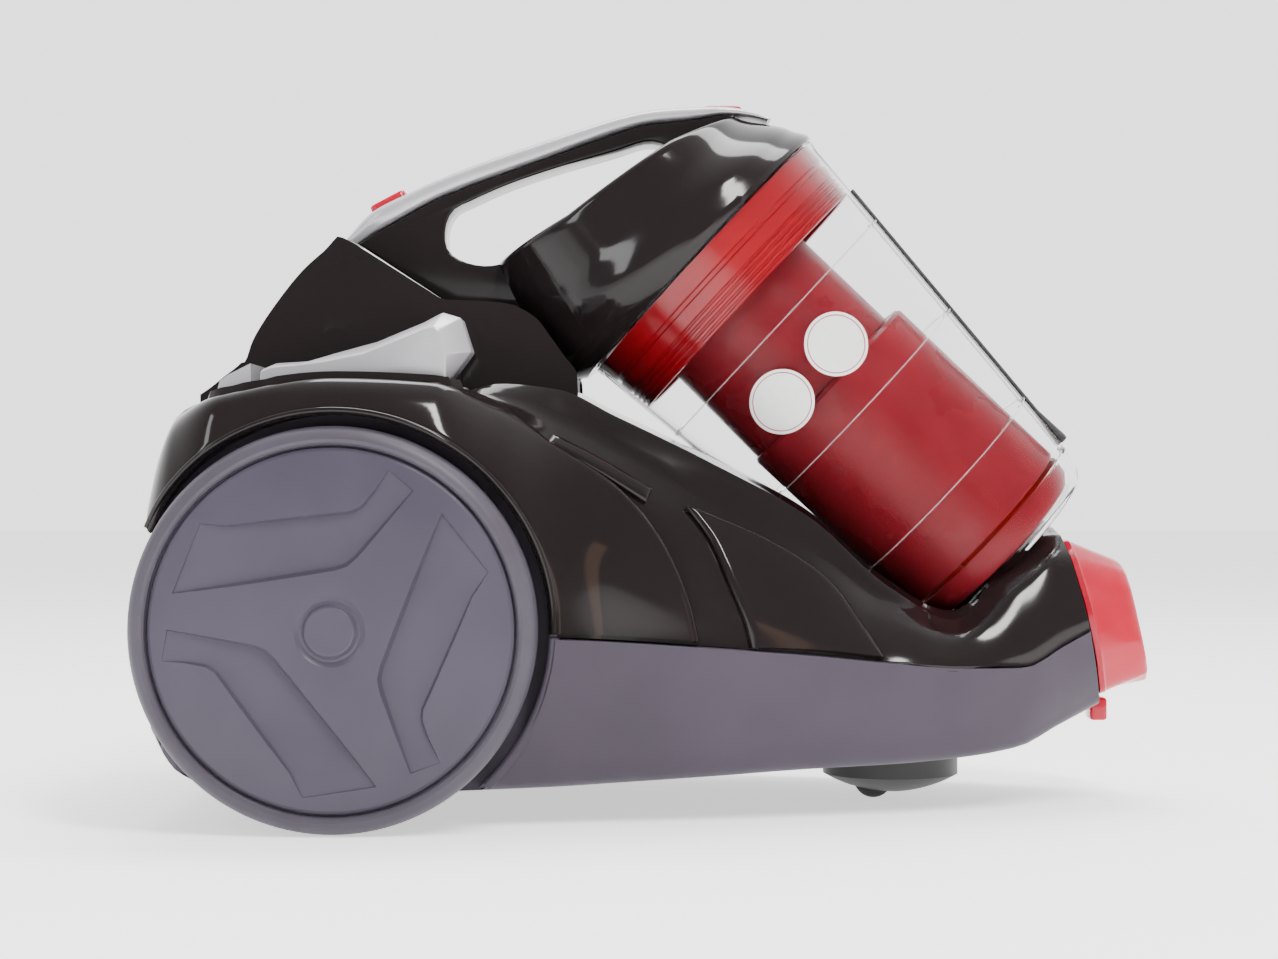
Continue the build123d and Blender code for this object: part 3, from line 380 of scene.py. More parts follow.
# Each material's base colour and roughness, other sockets, then what vary_colour, vary_roughness
# and grain are given.
RECIPES = {
    "gloss_black": ((0.0110, 0.0078, 0.0084), 0.10, {"Specular_IOR_Level": 0.28},
                    (((0.010, 0.0072, 0.0076), (0.013, 0.0092, 0.0098)), 9), (0.07, 0.14, 22),
                    (30, 0.0004, 0.08, 1.0)),
    "chassis_grey": ((0.050, 0.040, 0.058), 0.44, {"Specular_IOR_Level": 0.22},
                     (((0.046, 0.037, 0.053), (0.055, 0.044, 0.063)), 14), (0.40, 0.54, 40),
                     (1500, 0.0001, 0.22)),
    "wheel_grey": ((0.056, 0.049, 0.071), 0.40, {"Specular_IOR_Level": 0.3},
                   (((0.052, 0.045, 0.066), (0.061, 0.053, 0.077)), 18), (0.34, 0.48, 45),
                   (1700, 0.0001, 0.18)),
    "tyre_grey": ((0.062, 0.054, 0.072), 0.46, {"Specular_IOR_Level": 0.3},
                  (((0.057, 0.049, 0.066), (0.068, 0.060, 0.080)), 30), None, (1100, 0.00015, 0.3)),
    "black_plastic": ((0.02, 0.02, 0.022), 0.5, {},
                      (((0.016, 0.016, 0.018), (0.026, 0.025, 0.027)), 30), None, (1200, 0.00012, 0.3)),
    "red_gloss": ((0.46, 0.004, 0.026), 0.18,
                  {"Specular_IOR_Level": 0.3, "Coat_Weight": 0.15, "Subsurface_Weight": 0.05},
                  (((0.42, 0.003, 0.022), (0.50, 0.005, 0.030)), 16), (0.13, 0.22, 30), None),
    "red_band": ((0.30, 0.006, 0.012), 0.18, {"Specular_IOR_Level": 0.4, "Coat_Weight": 0.1},
                 (((0.25, 0.005, 0.010), (0.35, 0.008, 0.015)), 14), (0.10, 0.2, 25), None),
    "red_drum": ((0.23, 0.011, 0.019), 0.30, {"Specular_IOR_Level": 0.15, "Subsurface_Weight": 0.12},
                 (((0.20, 0.009, 0.015), (0.26, 0.014, 0.023)), 11), (0.24, 0.36, 24), None),
    "silver_paint": ((0.50, 0.49, 0.52), 0.34,
                     {"Metallic": 0.4, "Coat_Weight": 0.35, "Coat_Roughness": 0.12},
                     (((0.47, 0.46, 0.49), (0.53, 0.52, 0.55)), 20), None, (3200, 0.00004, 0.15)),
    "clear_cup": ((0.97, 0.97, 0.98), 0.03,
                  {"Transmission_Weight": 1.0, "IOR": 1.08, "Specular_IOR_Level": 0.5},
                  None, (0.02, 0.07, 18), None),
    # Level lines: real raised rings, but their pale pinkish see-through colour is a painted highlight standing in
    # for the light they catch.
    "painted_glint_level_line": ((0.80, 0.70, 0.70), 0.3, {"Alpha": 0.22}, None, (0.25, 0.4, 60), None),
    "seal_rubber": ((0.03, 0.03, 0.032), 0.75, {}, None, None, (900, 0.0002, 0.3)),
    "steel": ((0.55, 0.56, 0.58), 0.28, {"Metallic": 1.0}, None, (0.2, 0.36, 120), None),
    "winding": ((0.55, 0.27, 0.12), 0.35, {"Metallic": 0.8},
                (((0.45, 0.2, 0.08), (0.62, 0.32, 0.15)), 300), None, None),
    "filter_white": ((0.78, 0.78, 0.75), 0.9, {}, None, None, (700, 0.0004, 0.5)),
    "foam": ((0.18, 0.18, 0.19), 0.95, {}, None, None, (1400, 0.0006, 0.8)),
    "board_green": ((0.03, 0.16, 0.06), 0.35, {},
                    (((0.02, 0.13, 0.045), (0.04, 0.19, 0.075)), 120), None, None),
    "badge_white": ((0.84, 0.83, 0.82), 0.25, {"Coat_Weight": 0.4}, None, (0.2, 0.32, 60), None),
    "badge_ink": ((0.30, 0.02, 0.035), 0.35, {}, None, (0.3, 0.42, 60), None),
}


def make_material(name, colour, roughness, sockets, tints, rough_range, bumps):
    material = shader(name, colour, roughness, **sockets)
    for treatment, values in ((vary_colour, tints), (vary_roughness, rough_range), (grain, bumps)):
        if values:
            treatment(material, *values)
    return material


MATERIALS = {name: make_material(name, *recipe) for name, recipe in RECIPES.items()}
NODE_SLOTS = {part["node"]: part["material_slot"] for part in frame["record"]["subparts"]}
for node_name, cad_object in frame["nodes"].items():
    cad_object.data.materials.clear()
    cad_object.data.materials.append(MATERIALS[NODE_SLOTS[node_name]])


# ---------------------------------------------------------------- body surface
# Each station is a cross-section of the body: its X, then the half width and height of the floor
# edge, the seam, the flank, the shoulder and the deck.
STATIONS = [
    (-207.0, (97, 34), (111, 79), (111, 112), (98, 133), (68, 148)),
    (-202.0, (102, 26), (116, 79), (117, 117), (106, 147), (82, 157)),
    (-196.0, (106, 20), (121, 79), (122, 120), (112, 156), (94, 166)),
    (-176.0, (112, 13), (130, 78), (131, 125), (122, 168), (102, 172)),
    (-130.0, (114, 13), (133, 77), (133, 150), (121, 178), (102, 172)),
    (-92.0, (112, 13), (132, 76.5), (132, 145), (117, 176), (101, 172)),
    (-66.0, (108, 13.5), (128, 76.5), (126, 130), (110, 163), (86, 178)),
    (-44.0, (104, 14), (117, 76), (114, 122), (103, 150), (79, 176)),
    (-20.0, (99, 15), (107, 74.5), (106, 110), (98, 137), (76, 165)),
    (20.0, (93, 17), (101, 71.5), (99, 92), (90, 115), (72, 145.5)),
    (60.0, (84, 19), (92, 68), (89, 80), (80, 99), (66, 123.5)),
    (95.0, (75, 20), (82, 64), (79, 70), (71, 81), (58, 93.5)),
    (122.0, (66, 21.5), (73, 61.5), (71, 66), (64, 74), (52, 80)),
    (150.0, (54, 25), (62, 61), (61, 72), (52, 92), (34, 108)),
    (168.0, (44, 33), (54, 69.5), (53, 82), (43, 104), (27, 115)),
    (200.0, (32, 48), (44, 86), (43, 90), (33, 105), (20, 110)),
]
SEAM_S = np.linspace(0, 1, 4)
NOSE_TOP = (170.9, 114.7)
NOSE_FOOT = (186.1, 45.8)


def station_values(x, first, last):
    """Smooth (half width, height) pairs of the named section points at x."""
    table = [(s[0], *[v for pair in s[first:last] for v in pair]) for s in STATIONS]
    return smooth_table(table, x)[0].reshape(-1, 2)


def cardinal(keys, values, at):
    """Values along a smooth line through (keys, values)."""
    keys, values = np.asarray(keys, float), np.asarray(values, float)
    at = np.clip(np.atleast_1d(at), keys[0], keys[-1])
    slope = np.diff(values, axis=0) / np.diff(keys)[:, None]
    tangent = np.zeros_like(values)
    tangent[0], tangent[-1] = slope[0], slope[-1]
    tangent[1:-1] = (slope[:-1] + slope[1:]) / 2
    return cubic_line(keys, values, tangent, at)


def side_section(x, s):
    """(half width, height) at s = 0 on the seam to s = 1 on the deck's edge."""
    return cardinal(SEAM_S, station_values(x, 2, 6), s)


def side_point(x, s, lift=0.0):
    """A point of the body's side, moved outward by lift."""
    y, z = side_section(x, s)[0]
    if not lift:
        return np.array([x, y, z])
    step = 0.01
    before, after = side_section(x, max(s - step, 0))[0], side_section(x, min(s + step, 1))[0]
    along = np.array([0, *(after - before)])
    ahead = np.array([4.0, *(side_section(x + 2, s)[0] - side_section(x - 2, s)[0])])
    normal = np.cross(ahead, along)
    normal /= np.linalg.norm(normal)
    if normal[1] < 0:
        normal = -normal
    return np.array([x, y, z]) + lift * normal


def side_s(x, z):
    """The s at which the side reaches height z, below the shoulder's crest."""
    tries = np.linspace(0, 0.999, 220)
    heights = np.maximum.accumulate(side_section(x, tries)[:, 1])
    return float(np.interp(z, heights, tries))


def crowded(near_edge, first, count):
    """Places from 0 to 1, even between first and its mirror, and closer together at both ends."""
    edge = np.array(near_edge)
    return np.concatenate([edge, np.linspace(first, 1 - first, count - 8), 1 - edge[::-1]])


def patch(name, side_a, side_b, rows, columns, lift, roll, wall, ends):
    """A moulded panel on the body's side between two (x, s) lines, with rolled edges."""
    a, b = np.asarray(side_a, float), np.asarray(side_b, float)
    across = crowded([0, 0.006, 0.014, 0.026], 0.05, columns)
    along = crowded([0, 0.004, 0.01, 0.018], 0.035, rows)
    run = np.linspace(0, 1, len(a))
    rows_xs = []
    for u in along:
        start, stop = (np.array([np.interp(u, run, line[:, k]) for k in (0, 1)]) for line in (a, b))
        rows_xs.append([start + (stop - start) * v for v in across])
    base = np.array([[side_point(x, s) for x, s in row] for row in rows_xs])
    width = np.cumsum(np.linalg.norm(np.diff(base, axis=1, prepend=base[:, :1]), axis=2), axis=1)
    length = np.cumsum(np.linalg.norm(np.diff(base, axis=0, prepend=base[:1]), axis=2), axis=0)
    near = np.minimum(width, width[:, -1:] - width)
    if ends[0]:
        near = np.minimum(near, length)
    if ends[1]:
        near = np.minimum(near, length[-1:] - length)
    reach, drop = roll
    fall = drop * (1 - np.sqrt(np.clip(1 - (1 - np.clip(near / reach, 0, 1))**2, 0, 1)))
    verts = [side_point(x, s, lift - fall[r, c] + 1e-4)
             for r, row in enumerate(rows_xs) for c, (x, s) in enumerate(row)]
    piece = mesh_object(name, verts, grid_faces(len(along), len(across)), 40)
    return thickened(piece, wall, 40)


# ---------------------------------------------------------------- bin pocket in the shell
POCKET_TABLE = [(-1.2, 50.7 + BIN_GAP, 0.8), (188.0, 68.2 + BIN_GAP, 6.8), (189.0, 71.5 + BIN_GAP, 4.5),
                (197.0, 74.0 + BIN_GAP, -1.0), (218.0, 66.0 + BIN_GAP, -5.0), (254.0, 56.0 + BIN_GAP, -2.0)]
POCKET_H = np.linspace(POCKET_TABLE[0][0], POCKET_TABLE[-1][0], 380)
POCKET_KEYS = np.array(POCKET_TABLE).T
POCKET_RP = np.column_stack([np.interp(POCKET_H, POCKET_KEYS[0], POCKET_KEYS[k]) for k in (1, 2)])


def pocket_height(x, y):
    """Height of the pocket under the bin at (x, y), or infinity beside it."""
    radius, centre = POCKET_RP[:, 0], POCKET_RP[:, 1]
    inside = radius**2 - y**2
    if inside.max() <= 0:
        return np.inf
    p = centre - np.sqrt(np.clip(inside, 0, None))
    xs = BIN_FOOT[0] + POCKET_H * UP_BIN[0] + p * ACROSS_BIN[0]
    zs = BIN_FOOT[1] + POCKET_H * UP_BIN[1] + p * ACROSS_BIN[1]
    keep = inside > 0
    xs, zs = xs[keep], zs[keep]
    if x < xs[-1]:
        return np.inf
    if x <= xs[0]:
        order = np.minimum.accumulate(xs)
        return float(np.interp(x, order[::-1], zs[::-1]))
    foot = POCKET_TABLE[0][0]
    across = (x - BIN_FOOT[0] - foot * UP_BIN[0]) / ACROSS_BIN[0]
    if not keep[0] or across > centre[0] + np.sqrt(inside[0]):
        return np.inf
    return float(BIN_FOOT[1] + foot * UP_BIN[1] + across * ACROSS_BIN[1])


# ---------------------------------------------------------------- base tray
SEAM_GAP = 0.5
BASE_WALL = 2.6


def cut_nose(piece, sharp):
    """Trims the body to the slanted plane that the hose collar sits on."""
    nose = [NOSE_TOP, NOSE_FOOT, (192.0, 10.0), (240.0, 10.0), (240.0, 180.0), (158.0, 180.0)]
    return cut(piece, prism("nose_cutter", nose, -160, 160), sharp)


def cut_wells(piece, radius, inner, outer, sharp):
    """Clears the space of both rear wheels between two distances from the middle."""
    turns = around(128)
    ring = np.column_stack([AXLE_X + radius * np.cos(turns), AXLE_Z + radius * np.sin(turns)])
    for y_from, y_to in ((-outer, -inner), (inner, outer)):
        cut(piece, prism("well_cutter", ring, y_from, y_to), sharp)


def tail_closure(ring, level):
    """Rings that carry the body's last section round a small edge and in to a closing wall."""
    ring = np.asarray(ring, float)
    wall = []
    for shrink, back in ((0.0, 0.0), (0.35, 0.0), (0.7, 0.0), (0.94, 0.0), (0.972, 0.25), (0.99, 1.0)):
        copy = ring.copy()
        copy[:, 0] = ring[:, 0] - 1.6 + back
        copy[:, 1] = ring[:, 1] * shrink
        copy[:, 2] = level + (ring[:, 2] - level) * shrink
        wall.append(copy)
    return wall


def spans(*stretches):
    """Places along the body, from (first, last, count) stretches."""
    return np.concatenate([np.linspace(*stretch) for stretch in stretches])


def upright(x, section):
    """A (y, z) section stood up at x."""
    return np.column_stack([np.full(len(section), x), section])


def build_base():
    """The grey tub below the seam, from tail to nose, open over the wheels."""
    def section(x):
        foot, seam = station_values(x, 1, 3)
        wide, low = foot
        half = [(0, low), (wide - 30, low), (wide - 14, low + 0.4), (wide - 5, low + 2.2),
                (wide - 1, low + 7), (wide + (seam[0] - wide) * 0.5, low + (seam[1] - low) * 0.5),
                (seam[0], seam[1] - SEAM_GAP)]
        half = cardinal([0, 1, 1.6, 2.1, 2.6, 4, 6], half, np.linspace(0, 6, 46))
        return np.vstack([half[::-1] * (-1, 1), half[1:]])

    places = spans((-207, -190, 8), (-186, 166, 60), (169, 190, 9))
    rings = [upright(x, section(x)) for x in places]
    rings = tail_closure(rings[0], station_values(-207, 2, 3)[0][1]) + rings
    piece = mesh_object("base_shell", np.vstack(rings), grid_faces(len(rings), len(rings[0])), 40)
    thickened(piece, BASE_WALL, 40)
    cut_nose(piece, 35)
    cut(piece, box_piece("gland_cutter", (-214, -199), (66, 86), (52, 72)), 35)
    cut(piece, box_piece("door_cutter", (-214, -204), (-57, 57), (66.5, 90)), 35)
    cut_wells(piece, WELL_R + 2.0, 97.0, 170.0, 35)
    return piece


def on_arch(past, angle):
    """The (x, z) place round the axle, past the well's radius."""
    return AXLE_X + (WELL_R + past) * cos(angle), AXLE_Z + (WELL_R + past) * sin(angle)


def build_arch_flanges():
    """The darker strips on the base's wheel side, where the tub turns in round the arch."""
    strips = []
    for side in (-1, 1):
        rings = []
        for angle in np.linspace(radians(-47), radians(-2.5), 40):
            ring = []
            for past, out in ((-0.6, -7.5), (-0.6, -1.2), (0.8, 0.1), (3.6, 0.1), (3.6, -7.5)):
                x, z = on_arch(past, angle)
                foot, seam = station_values(x, 1, 3)
                t = np.clip((z - foot[1]) / (seam[1] - foot[1]), 0, 1)
                ring.append((x, side * (foot[0] + (seam[0] - foot[0]) * t + out - 0.5), z))
            rings.append(ring)
        strips.append(loft("strip", rings))
    return bevelled(join("base_flanges", strips), 0.5, 2)


for build in (build_base, build_arch_flanges):
    place(build(), "chassis", "chassis_grey", "base_tray")

# ---------------------------------------------------------------- upper shell
# The visible edges on the body's side, each a line of (x, z) points on the cleaner's right.
FENDER_EDGE = [(-93.6, 176.8), (-72, 168.5), (-45.9, 155.1), (-17.3, 136.1), (-3, 119.3), (5.4, 103.9),
               (11.4, 87.2), (14.3, 74)]
RIBBON_EDGE = [(9.3, 128.7), (18.9, 115.4), (26.2, 98.5), (32.3, 82.8), (35.2, 71.2)]
CHEEK_EDGE = [(13.0, 128.0), (46.3, 113.6), (69.7, 97.4), (82, 80.5), (90.7, 66.6)]
FENDER_TOP_S = 0.93
RIM_RISE = 3.4
SHELL_INSET = 3.2


def shell_lift(x, s):
    """How far the main shell stands inside the body's outer surface."""
    toward_nose = smoothstep(84, 112, x)
    toward_deck = smoothstep(0.86, 0.99, s)
    return -SHELL_INSET * (1 - max(toward_nose, toward_deck))


def build_upper_shell():
    """The gloss shell above the seam, with the raised rim and the pocket that the bin drops into."""
    rings = []
    places = spans((-207, -60, 34), (-57, 150, 100), (152, 190, 18))
    for x in places:
        outer = [side_point(x, s, shell_lift(x, s)) for s in np.linspace(0, 1, 26)]
        outer[0][2] += SEAM_GAP
        deck = outer[-1]
        reach = deck[1] - 3.0
        top = deck[2] + RIM_RISE
        rim = reach
        for y in np.linspace(reach, 2.0, 90):
            if pocket_height(x, y) <= top:
                break
            rim = y
        edge_height = min(top, pocket_height(x, rim)) if rim > 2.2 else top
        shelf = []
        for t in (0.2, 0.45, 0.7, 0.9, 1.0):
            rise = (edge_height - deck[2]) * smoothstep(0, 1, t)
            shelf.append(np.array([x, deck[1] + (rim + 1.5 - deck[1]) * t, deck[2] + rise]))
        inner = [np.array([x, rim * t, min(edge_height, pocket_height(x, rim * t))])
                 for t in np.concatenate([[0.995, 0.98, 0.95], np.linspace(0.9, 0, 16)])]
        half = np.array(outer + shelf + inner)
        other = half[::-1][1:] * (1, -1, 1)
        rings.append(np.vstack([half, other]))
    rings = tail_closure(rings[0], rings[0][0][2]) + rings
    piece = mesh_object("upper_shell_skin", np.vstack(rings), grid_faces(len(rings), len(rings[0])), 42)
    thickened(piece, 2.2, 42)
    cut_wells(piece, WELL_R, 100, 160, 38)
    cut(piece, box_piece("door_cutter", (-214, -200), (-54, 54), (78, 140)), 38)
    return cut_nose(piece, 38)


def edge_on_side(points, count, s_limit=1.0):
    """(x, s) places of an (x, z) line on the body's side."""
    line = smooth_line(points, count)
    return [(x, min(side_s(x, z), s_limit)) for x, z in line]


def build_fender():
    """The wheel-arch panel: from the arch up over the shoulder, and down its front edge to the seam."""
    arch = []
    for angle in np.linspace(radians(153.5), radians(-1.5), 90):
        x, z = on_arch(0.2, angle)
        arch.append((x, side_s(x, z)))
    top = [(x, FENDER_TOP_S) for x in np.linspace(-206.5, -108, 46)]
    front = edge_on_side(FENDER_EDGE, 44, FENDER_TOP_S)
    ease = np.linspace(0, 1, len(front))
    front = [(x, s + (FENDER_TOP_S - s) * max(0, 1 - 3.0 * t)) for (x, s), t in zip(front, ease)]
    upper = np.array(top + front)
    upper = resample(upper * (1, 60), 90) / (1, 60)
    return patch("left_fender_panel", arch, upper, 96, 44, 0.2, (3.4, 2.6), 2.4, (False, False))


def build_cheek():
    """The leaf-shaped panel ahead of the fender."""
    left = edge_on_side(RIBBON_EDGE, 40)
    right = edge_on_side(CHEEK_EDGE, 40)
    return patch("left_cheek_panel", left, right, 56, 36, 0.0, (3.0, 2.0), 2.0, (True, False))


def build_ledge():
    """The small bright shelf behind the cheek, under the rail."""
    lower = edge_on_side([(-47, 154.0), (-26, 142.5), (-7, 130.5)], 24)
    upper = edge_on_side([(-44, 158.5), (-23, 147.5), (-4, 136.0)], 24)
    return patch("left_ledge_panel", lower, upper, 30, 18, -0.4, (2.4, 2.0), 1.6, (True, True))


def build_arch_bead():
    """The rolled lip of the fender round the wheel."""
    rings = []
    for angle in np.linspace(radians(152.5), radians(-1.0), 110):
        outward = np.array([cos(angle), 0, sin(angle)])
        x, z = on_arch(1.3, angle)
        middle = side_point(x, side_s(x, z), -0.3)
        rings.append([middle + 1.25 * cos(a) * outward + np.array([0, 1.25 * sin(a), 0])
                      for a in around(14)])
    return loft("left_arch_bead", rings, sharp=60)


place(build_upper_shell(), "chassis", "gloss_black", "upper_shell")
for build in (build_fender, build_arch_bead, build_cheek, build_ledge):
    panel = build()
    other = mirrored(panel, panel.name.replace("left", "right"))
    for piece, side in ((panel, "left"), (other, "right")):
        on_fender = build in (build_fender, build_arch_bead)
        place(piece, "chassis", "gloss_black", f"{side}_fender" if on_fender else "upper_shell")

# ---------------------------------------------------------------- hump behind the handle
HUMP_HALF = 52.0
HUMP_FLOOR = 168.0
HUMP_TAIL = [(-194.8, 175.7), (-190.0, 179.0)]
HUMP_BACK = [(-186.3, 182.1), (-176.3, 190.7), (-172.8, 200.4), (-164.0, 215.8), (-153.0, 231.2),
             (-139.8, 244.0)]
HUMP_FRONT = [(-139.8, 244.0), (-132.6, 240.2), (-93.4, 215.0), (-74.0, 214.4), (-69.0, 213.2),
              (-63.3, 207.0), (-58.8, 200.7), (-51.5, 190.5), (-46.5, 184.5), (-46.0, 174.0)]


def hump_half(z):
    """Half width of the hump at height z."""
    return float(smooth_table([(160, 52), (192, 52), (205, 49.5), (225, 41), (246, 30)], z)[0, 0])


def build_hump():
    """The cover between the tail and the bin's lid, crowned at its rear and wrapped round the lid."""
    back, front = smooth_line(HUMP_BACK, 36), resample(HUMP_FRONT, 36)
    grid = []
    for x, z in resample(np.vstack([HUMP_TAIL, back[1:], front[1:]]), 90):
        crown = 2.6 * (1 - float(smoothstep(-146, -136, x)))
        wrap = 10.0 * float(smoothstep(-76, -62, x))
        top = []
        for t in np.linspace(-1, 1, 31):
            bow = crown * (1 - abs(t) ** 2.6)
            top.append((x + wrap * t * t, t * hump_half(z), z + (bow - crown) * (1.0 if z > 190 else 0.4)))
        edge_x, _, edge_z = top[0]
        skirt = []
        for t in np.linspace(0, 1, 14)[1:]:
            half = HUMP_HALF if t > 0.5 else hump_half(z - (z - HUMP_FLOOR) * t)
            skirt.append((edge_x, half, edge_z - (edge_z - HUMP_FLOOR) * t))
        grid.append([(px, -py, pz) for px, py, pz in skirt[::-1]] + top + skirt)
    return mesh_object("hump_cover", np.vstack(grid), grid_faces(len(grid), len(grid[0])), 30)


place(thickened(build_hump(), 2.0, 30), "chassis", "gloss_black", "rear_cover")

# ---------------------------------------------------------------- bin
GRADUATIONS = (45.0, 95.0, 145.0)
BIN_STEPS = 144
LID_FOOT_H = 188.4
LID_CREST_H = 254.0
LID_ROUNDING = 2.4
LID_TABLE = [(LID_FOOT_H, 71.5, 4.5), (190.5, 73.2, 3.2), (197.0, 74.0, -1.0), (218.0, 66.0, -5.0),
             (LID_CREST_H, 56.0, -2.0)]
LID_TOP_X, LID_TOP_Z = zip((-90, 223), (-73.2, 232.1), (-41, 249.5), (3.3, 282), (31.8, 297.2), (70, 317))


def cup_row(h, grow=0.0):
    """(h, radius, offset) of the cup's outer form, grown by a margin."""
    radius, centre = (foot + (top - foot) * h / CUP_H for foot, top in zip(CUP_FOOT, CUP_TOP))
    return h, radius + grow, centre


def build_cup():
    """The clear cup with its rolled lip and thin raised graduation rings."""
    outer = []
    levels = sorted(CUP_H - g for g in GRADUATIONS)
    heights = [FLAP_H + 0.4]
    for level in levels:
        heights += [level - 0.9, level - 0.45, level + 0.45, level + 0.9]
    heights += [CUP_H - 4.0, CUP_H - 3.0, CUP_H - 0.6]
    for h in heights:
        grow = 0.4 if any(abs(h - level) < 0.5 for level in levels) or h > CUP_H - 3.5 else 0.0
        outer.append(cup_row(h, grow))
    outer.append(cup_row(CUP_H, -0.3))
    inner = [cup_row(h, -CUP_WALL) for h in (CUP_H, CUP_H - 40, CUP_H - 90, FLAP_H + 50, FLAP_H + 0.4)]
    return bin_shell("clear_cup_wall", outer, inner, BIN_STEPS)


def build_graduations():
    """Thin raised level lines round the cup; their pale see-through tint is a painted highlight for the light that
    the raised rings catch.
    """
    lines = []
    for drop in GRADUATIONS:
        level = CUP_H - drop
        rows = [cup_row(level + up, grow)
                for up, grow in ((-0.3, 0.3), (-0.2, 0.62), (0.2, 0.62), (0.3, 0.3))]
        lines.append(bin_shell("line", rows, [], BIN_STEPS))
    return join("cup_level_lines", lines, 60)


def build_band():
    """The ringed red collar inside the cup's top."""
    grow = -CUP_WALL - 0.25
    outer = [cup_row(BAND_H + 0.5, grow - 2.6), cup_row(BAND_H, grow - 0.8), cup_row(BAND_H + 0.3, grow)]
    h = BAND_H + 1.2
    while h < BAND_H + 9:
        outer += [cup_row(h + up, grow - deep) for up, deep in ((0, 0), (0.5, 0.7), (1.1, 0.7), (1.6, 0))]
        h += 2.6
    outer += [cup_row(CUP_H - down, grow - deep)
              for down, deep in ((12, 0), (11.4, 0.8), (9.8, 0.8), (9.2, 0), (0.8, 0))]
    inner = [cup_row(CUP_H - 1.2, grow - 2.6)]
    return bin_shell("ringed_band", outer, inner, BIN_STEPS)


def on_skirt(h, angle):
    """A point of the lid's round skirt."""
    radius, centre = smooth_table(LID_TABLE, h)[0]
    x, z = bin_point(h, centre + radius * cos(angle))
    return np.array([x, radius * sin(angle), z])


def over_lid_top(point):
    """How far a point stands over the lid's slanted top."""
    return point[2] - np.interp(point[0], LID_TOP_X, LID_TOP_Z)


def skirt_top(angle):
    """The height on the bin's axis where the skirt meets the slanted top."""
    heights = np.linspace(LID_FOOT_H, LID_CREST_H, 90)
    above = np.array([over_lid_top(on_skirt(h, angle)) > 0 for h in heights])
    crossing = np.argmax(above) if above.any() else len(heights) - 1
    low, high = heights[max(crossing - 1, 0)], heights[crossing]
    for _ in range(18):
        middle = (low + high) / 2
        if over_lid_top(on_skirt(middle, angle)) > 0:
            high = middle
        else:
            low = middle
    return (low + high) / 2


def build_lid():
    """The gloss lid: a round skirt on the cup, cut by the slanted top under the handle."""
    columns = []
    for angle in around(BIN_STEPS):
        rise = skirt_top(angle) - LID_FOOT_H
        columns.append([on_skirt(LID_FOOT_H + rise * t, angle) for t in np.linspace(0, 1, 22)])
    columns = np.array(columns)
    rim = columns[:, -1]
    middle = rim.mean(0)
    rows = [columns[:, k] for k in range(21)]
    shoulder = rows[-1]
    inward = rim + (middle - rim) / np.linalg.norm(middle - rim, axis=1)[:, None] * LID_ROUNDING
    for t in (0.35, 0.7, 1.0):
        rows.append((1 - t)**2 * shoulder + 2 * t * (1 - t) * rim + t**2 * inward)
    for shrink in (0.8, 0.6, 0.4, 0.2, 0.02):
        ring = middle + (rows[23] - middle) * shrink
        ring[:, 2] = np.interp(ring[:, 0], LID_TOP_X, LID_TOP_Z) - 0.05
        rows.append(ring)
    foot = rows[0]
    rows.insert(0, foot.mean(0) + (foot - foot.mean(0)) * 0.93)
    return loft("lid_cover", rows, 34)


SHROUD = [(BAND_H + 22.0, 40.6, 1.4), (BAND_H + 2.0, 40.6, 1.2), (DRUM_STEP_H - 3.0, 41.3, -0.2)]
DRUM = [(DRUM_STEP_H + 0.6, 41.6, 1.2), (DRUM_STEP_H, 44.4, 2.2), (DRUM_STEP_H - 1.6, 45.7, 2.6),
        (60.0, 45.4, 2.4), (FLAP_H + 1.6, 45.2, 2.2), (FLAP_H + 1.0, 44.6, 2.2)]


def inside_of(rows):
    """The inner face of a 2 mm wall, from its outer rows."""
    return [(h, radius - 2.0, centre) for h, radius, centre in reversed(rows)]


def build_shroud():
    """The upper inner cylinder, under the band."""
    return bin_shell("shroud_wall", SHROUD, inside_of(SHROUD), 120)


def build_drum():
    """The wider lower cylinder with its rounded step, and the dirt duct inside it."""
    wall = bin_shell("drum_wall", DRUM, inside_of(DRUM[2:]) + [(DRUM_STEP_H - 1.4, 39.4, 1.2)], 120)
    low, high, across = FLAP_H + 1.5, DRUM_STEP_H - 3, -27.0
    duct = bin_shell("drum_duct", [(low, 15.8, across), (high, 15.8, across)],
                     [(high, 14.0, across), (low, 14.0, across)], 64)
    return join("drum_wall_and_duct", [wall, duct], 30)


def build_release_rod():
    """The black strip down the cup's front that works the floor flap, with its thicker foot."""
    rings = []
    for h in (FLAP_H + 1.0, FLAP_H + 3.0, 34.0, 60.0, 90.0, 120.0, BAND_H - 2.0, BAND_H):
        _, radius, centre = cup_row(h)
        thick = 3.6 if h < 30 else 1.8
        half = 6.4 if h < 30 else 3.6
        ring = []
        for wide, out in ((-1, 0.15), (-1, thick * 0.7), (-0.7, thick),
                          (0.7, thick), (1, thick * 0.7), (1, 0.15)):
            x, z = bin_point(h, centre + radius + out)
            ring.append((x, wide * half, z))
        rings.append(ring)
    return bevelled(loft("flap_rod", rings), 0.4, 2)


for build, slot, node, material in (
        (build_shroud, "red_drum", "shroud", "red_drum"),
        (build_drum, "red_drum", "dust_drum", "red_drum"),
        (build_release_rod, "black_plastic", "flap_catch", "black_plastic"),
        (build_cup, "clear_cup", "dust_cup", "clear_cup"),
        # The level lines take a pale tint: a painted highlight on the raised rings.
        (build_graduations, "clear_cup", "dust_cup", "painted_glint_level_line"),
        (build_band, "red_gloss", "cyclone_band", "red_band"),
        (build_lid, "gloss_black", "lid", "gloss_black")):
    place(build(), "bin", slot, node, material)


# ---------------------------------------------------------------- wheels
COVER_R = 72.0
COVER_FLOOR = 133.7
COVER_CREST = 136.6
CUTTER_TOP = 139.5
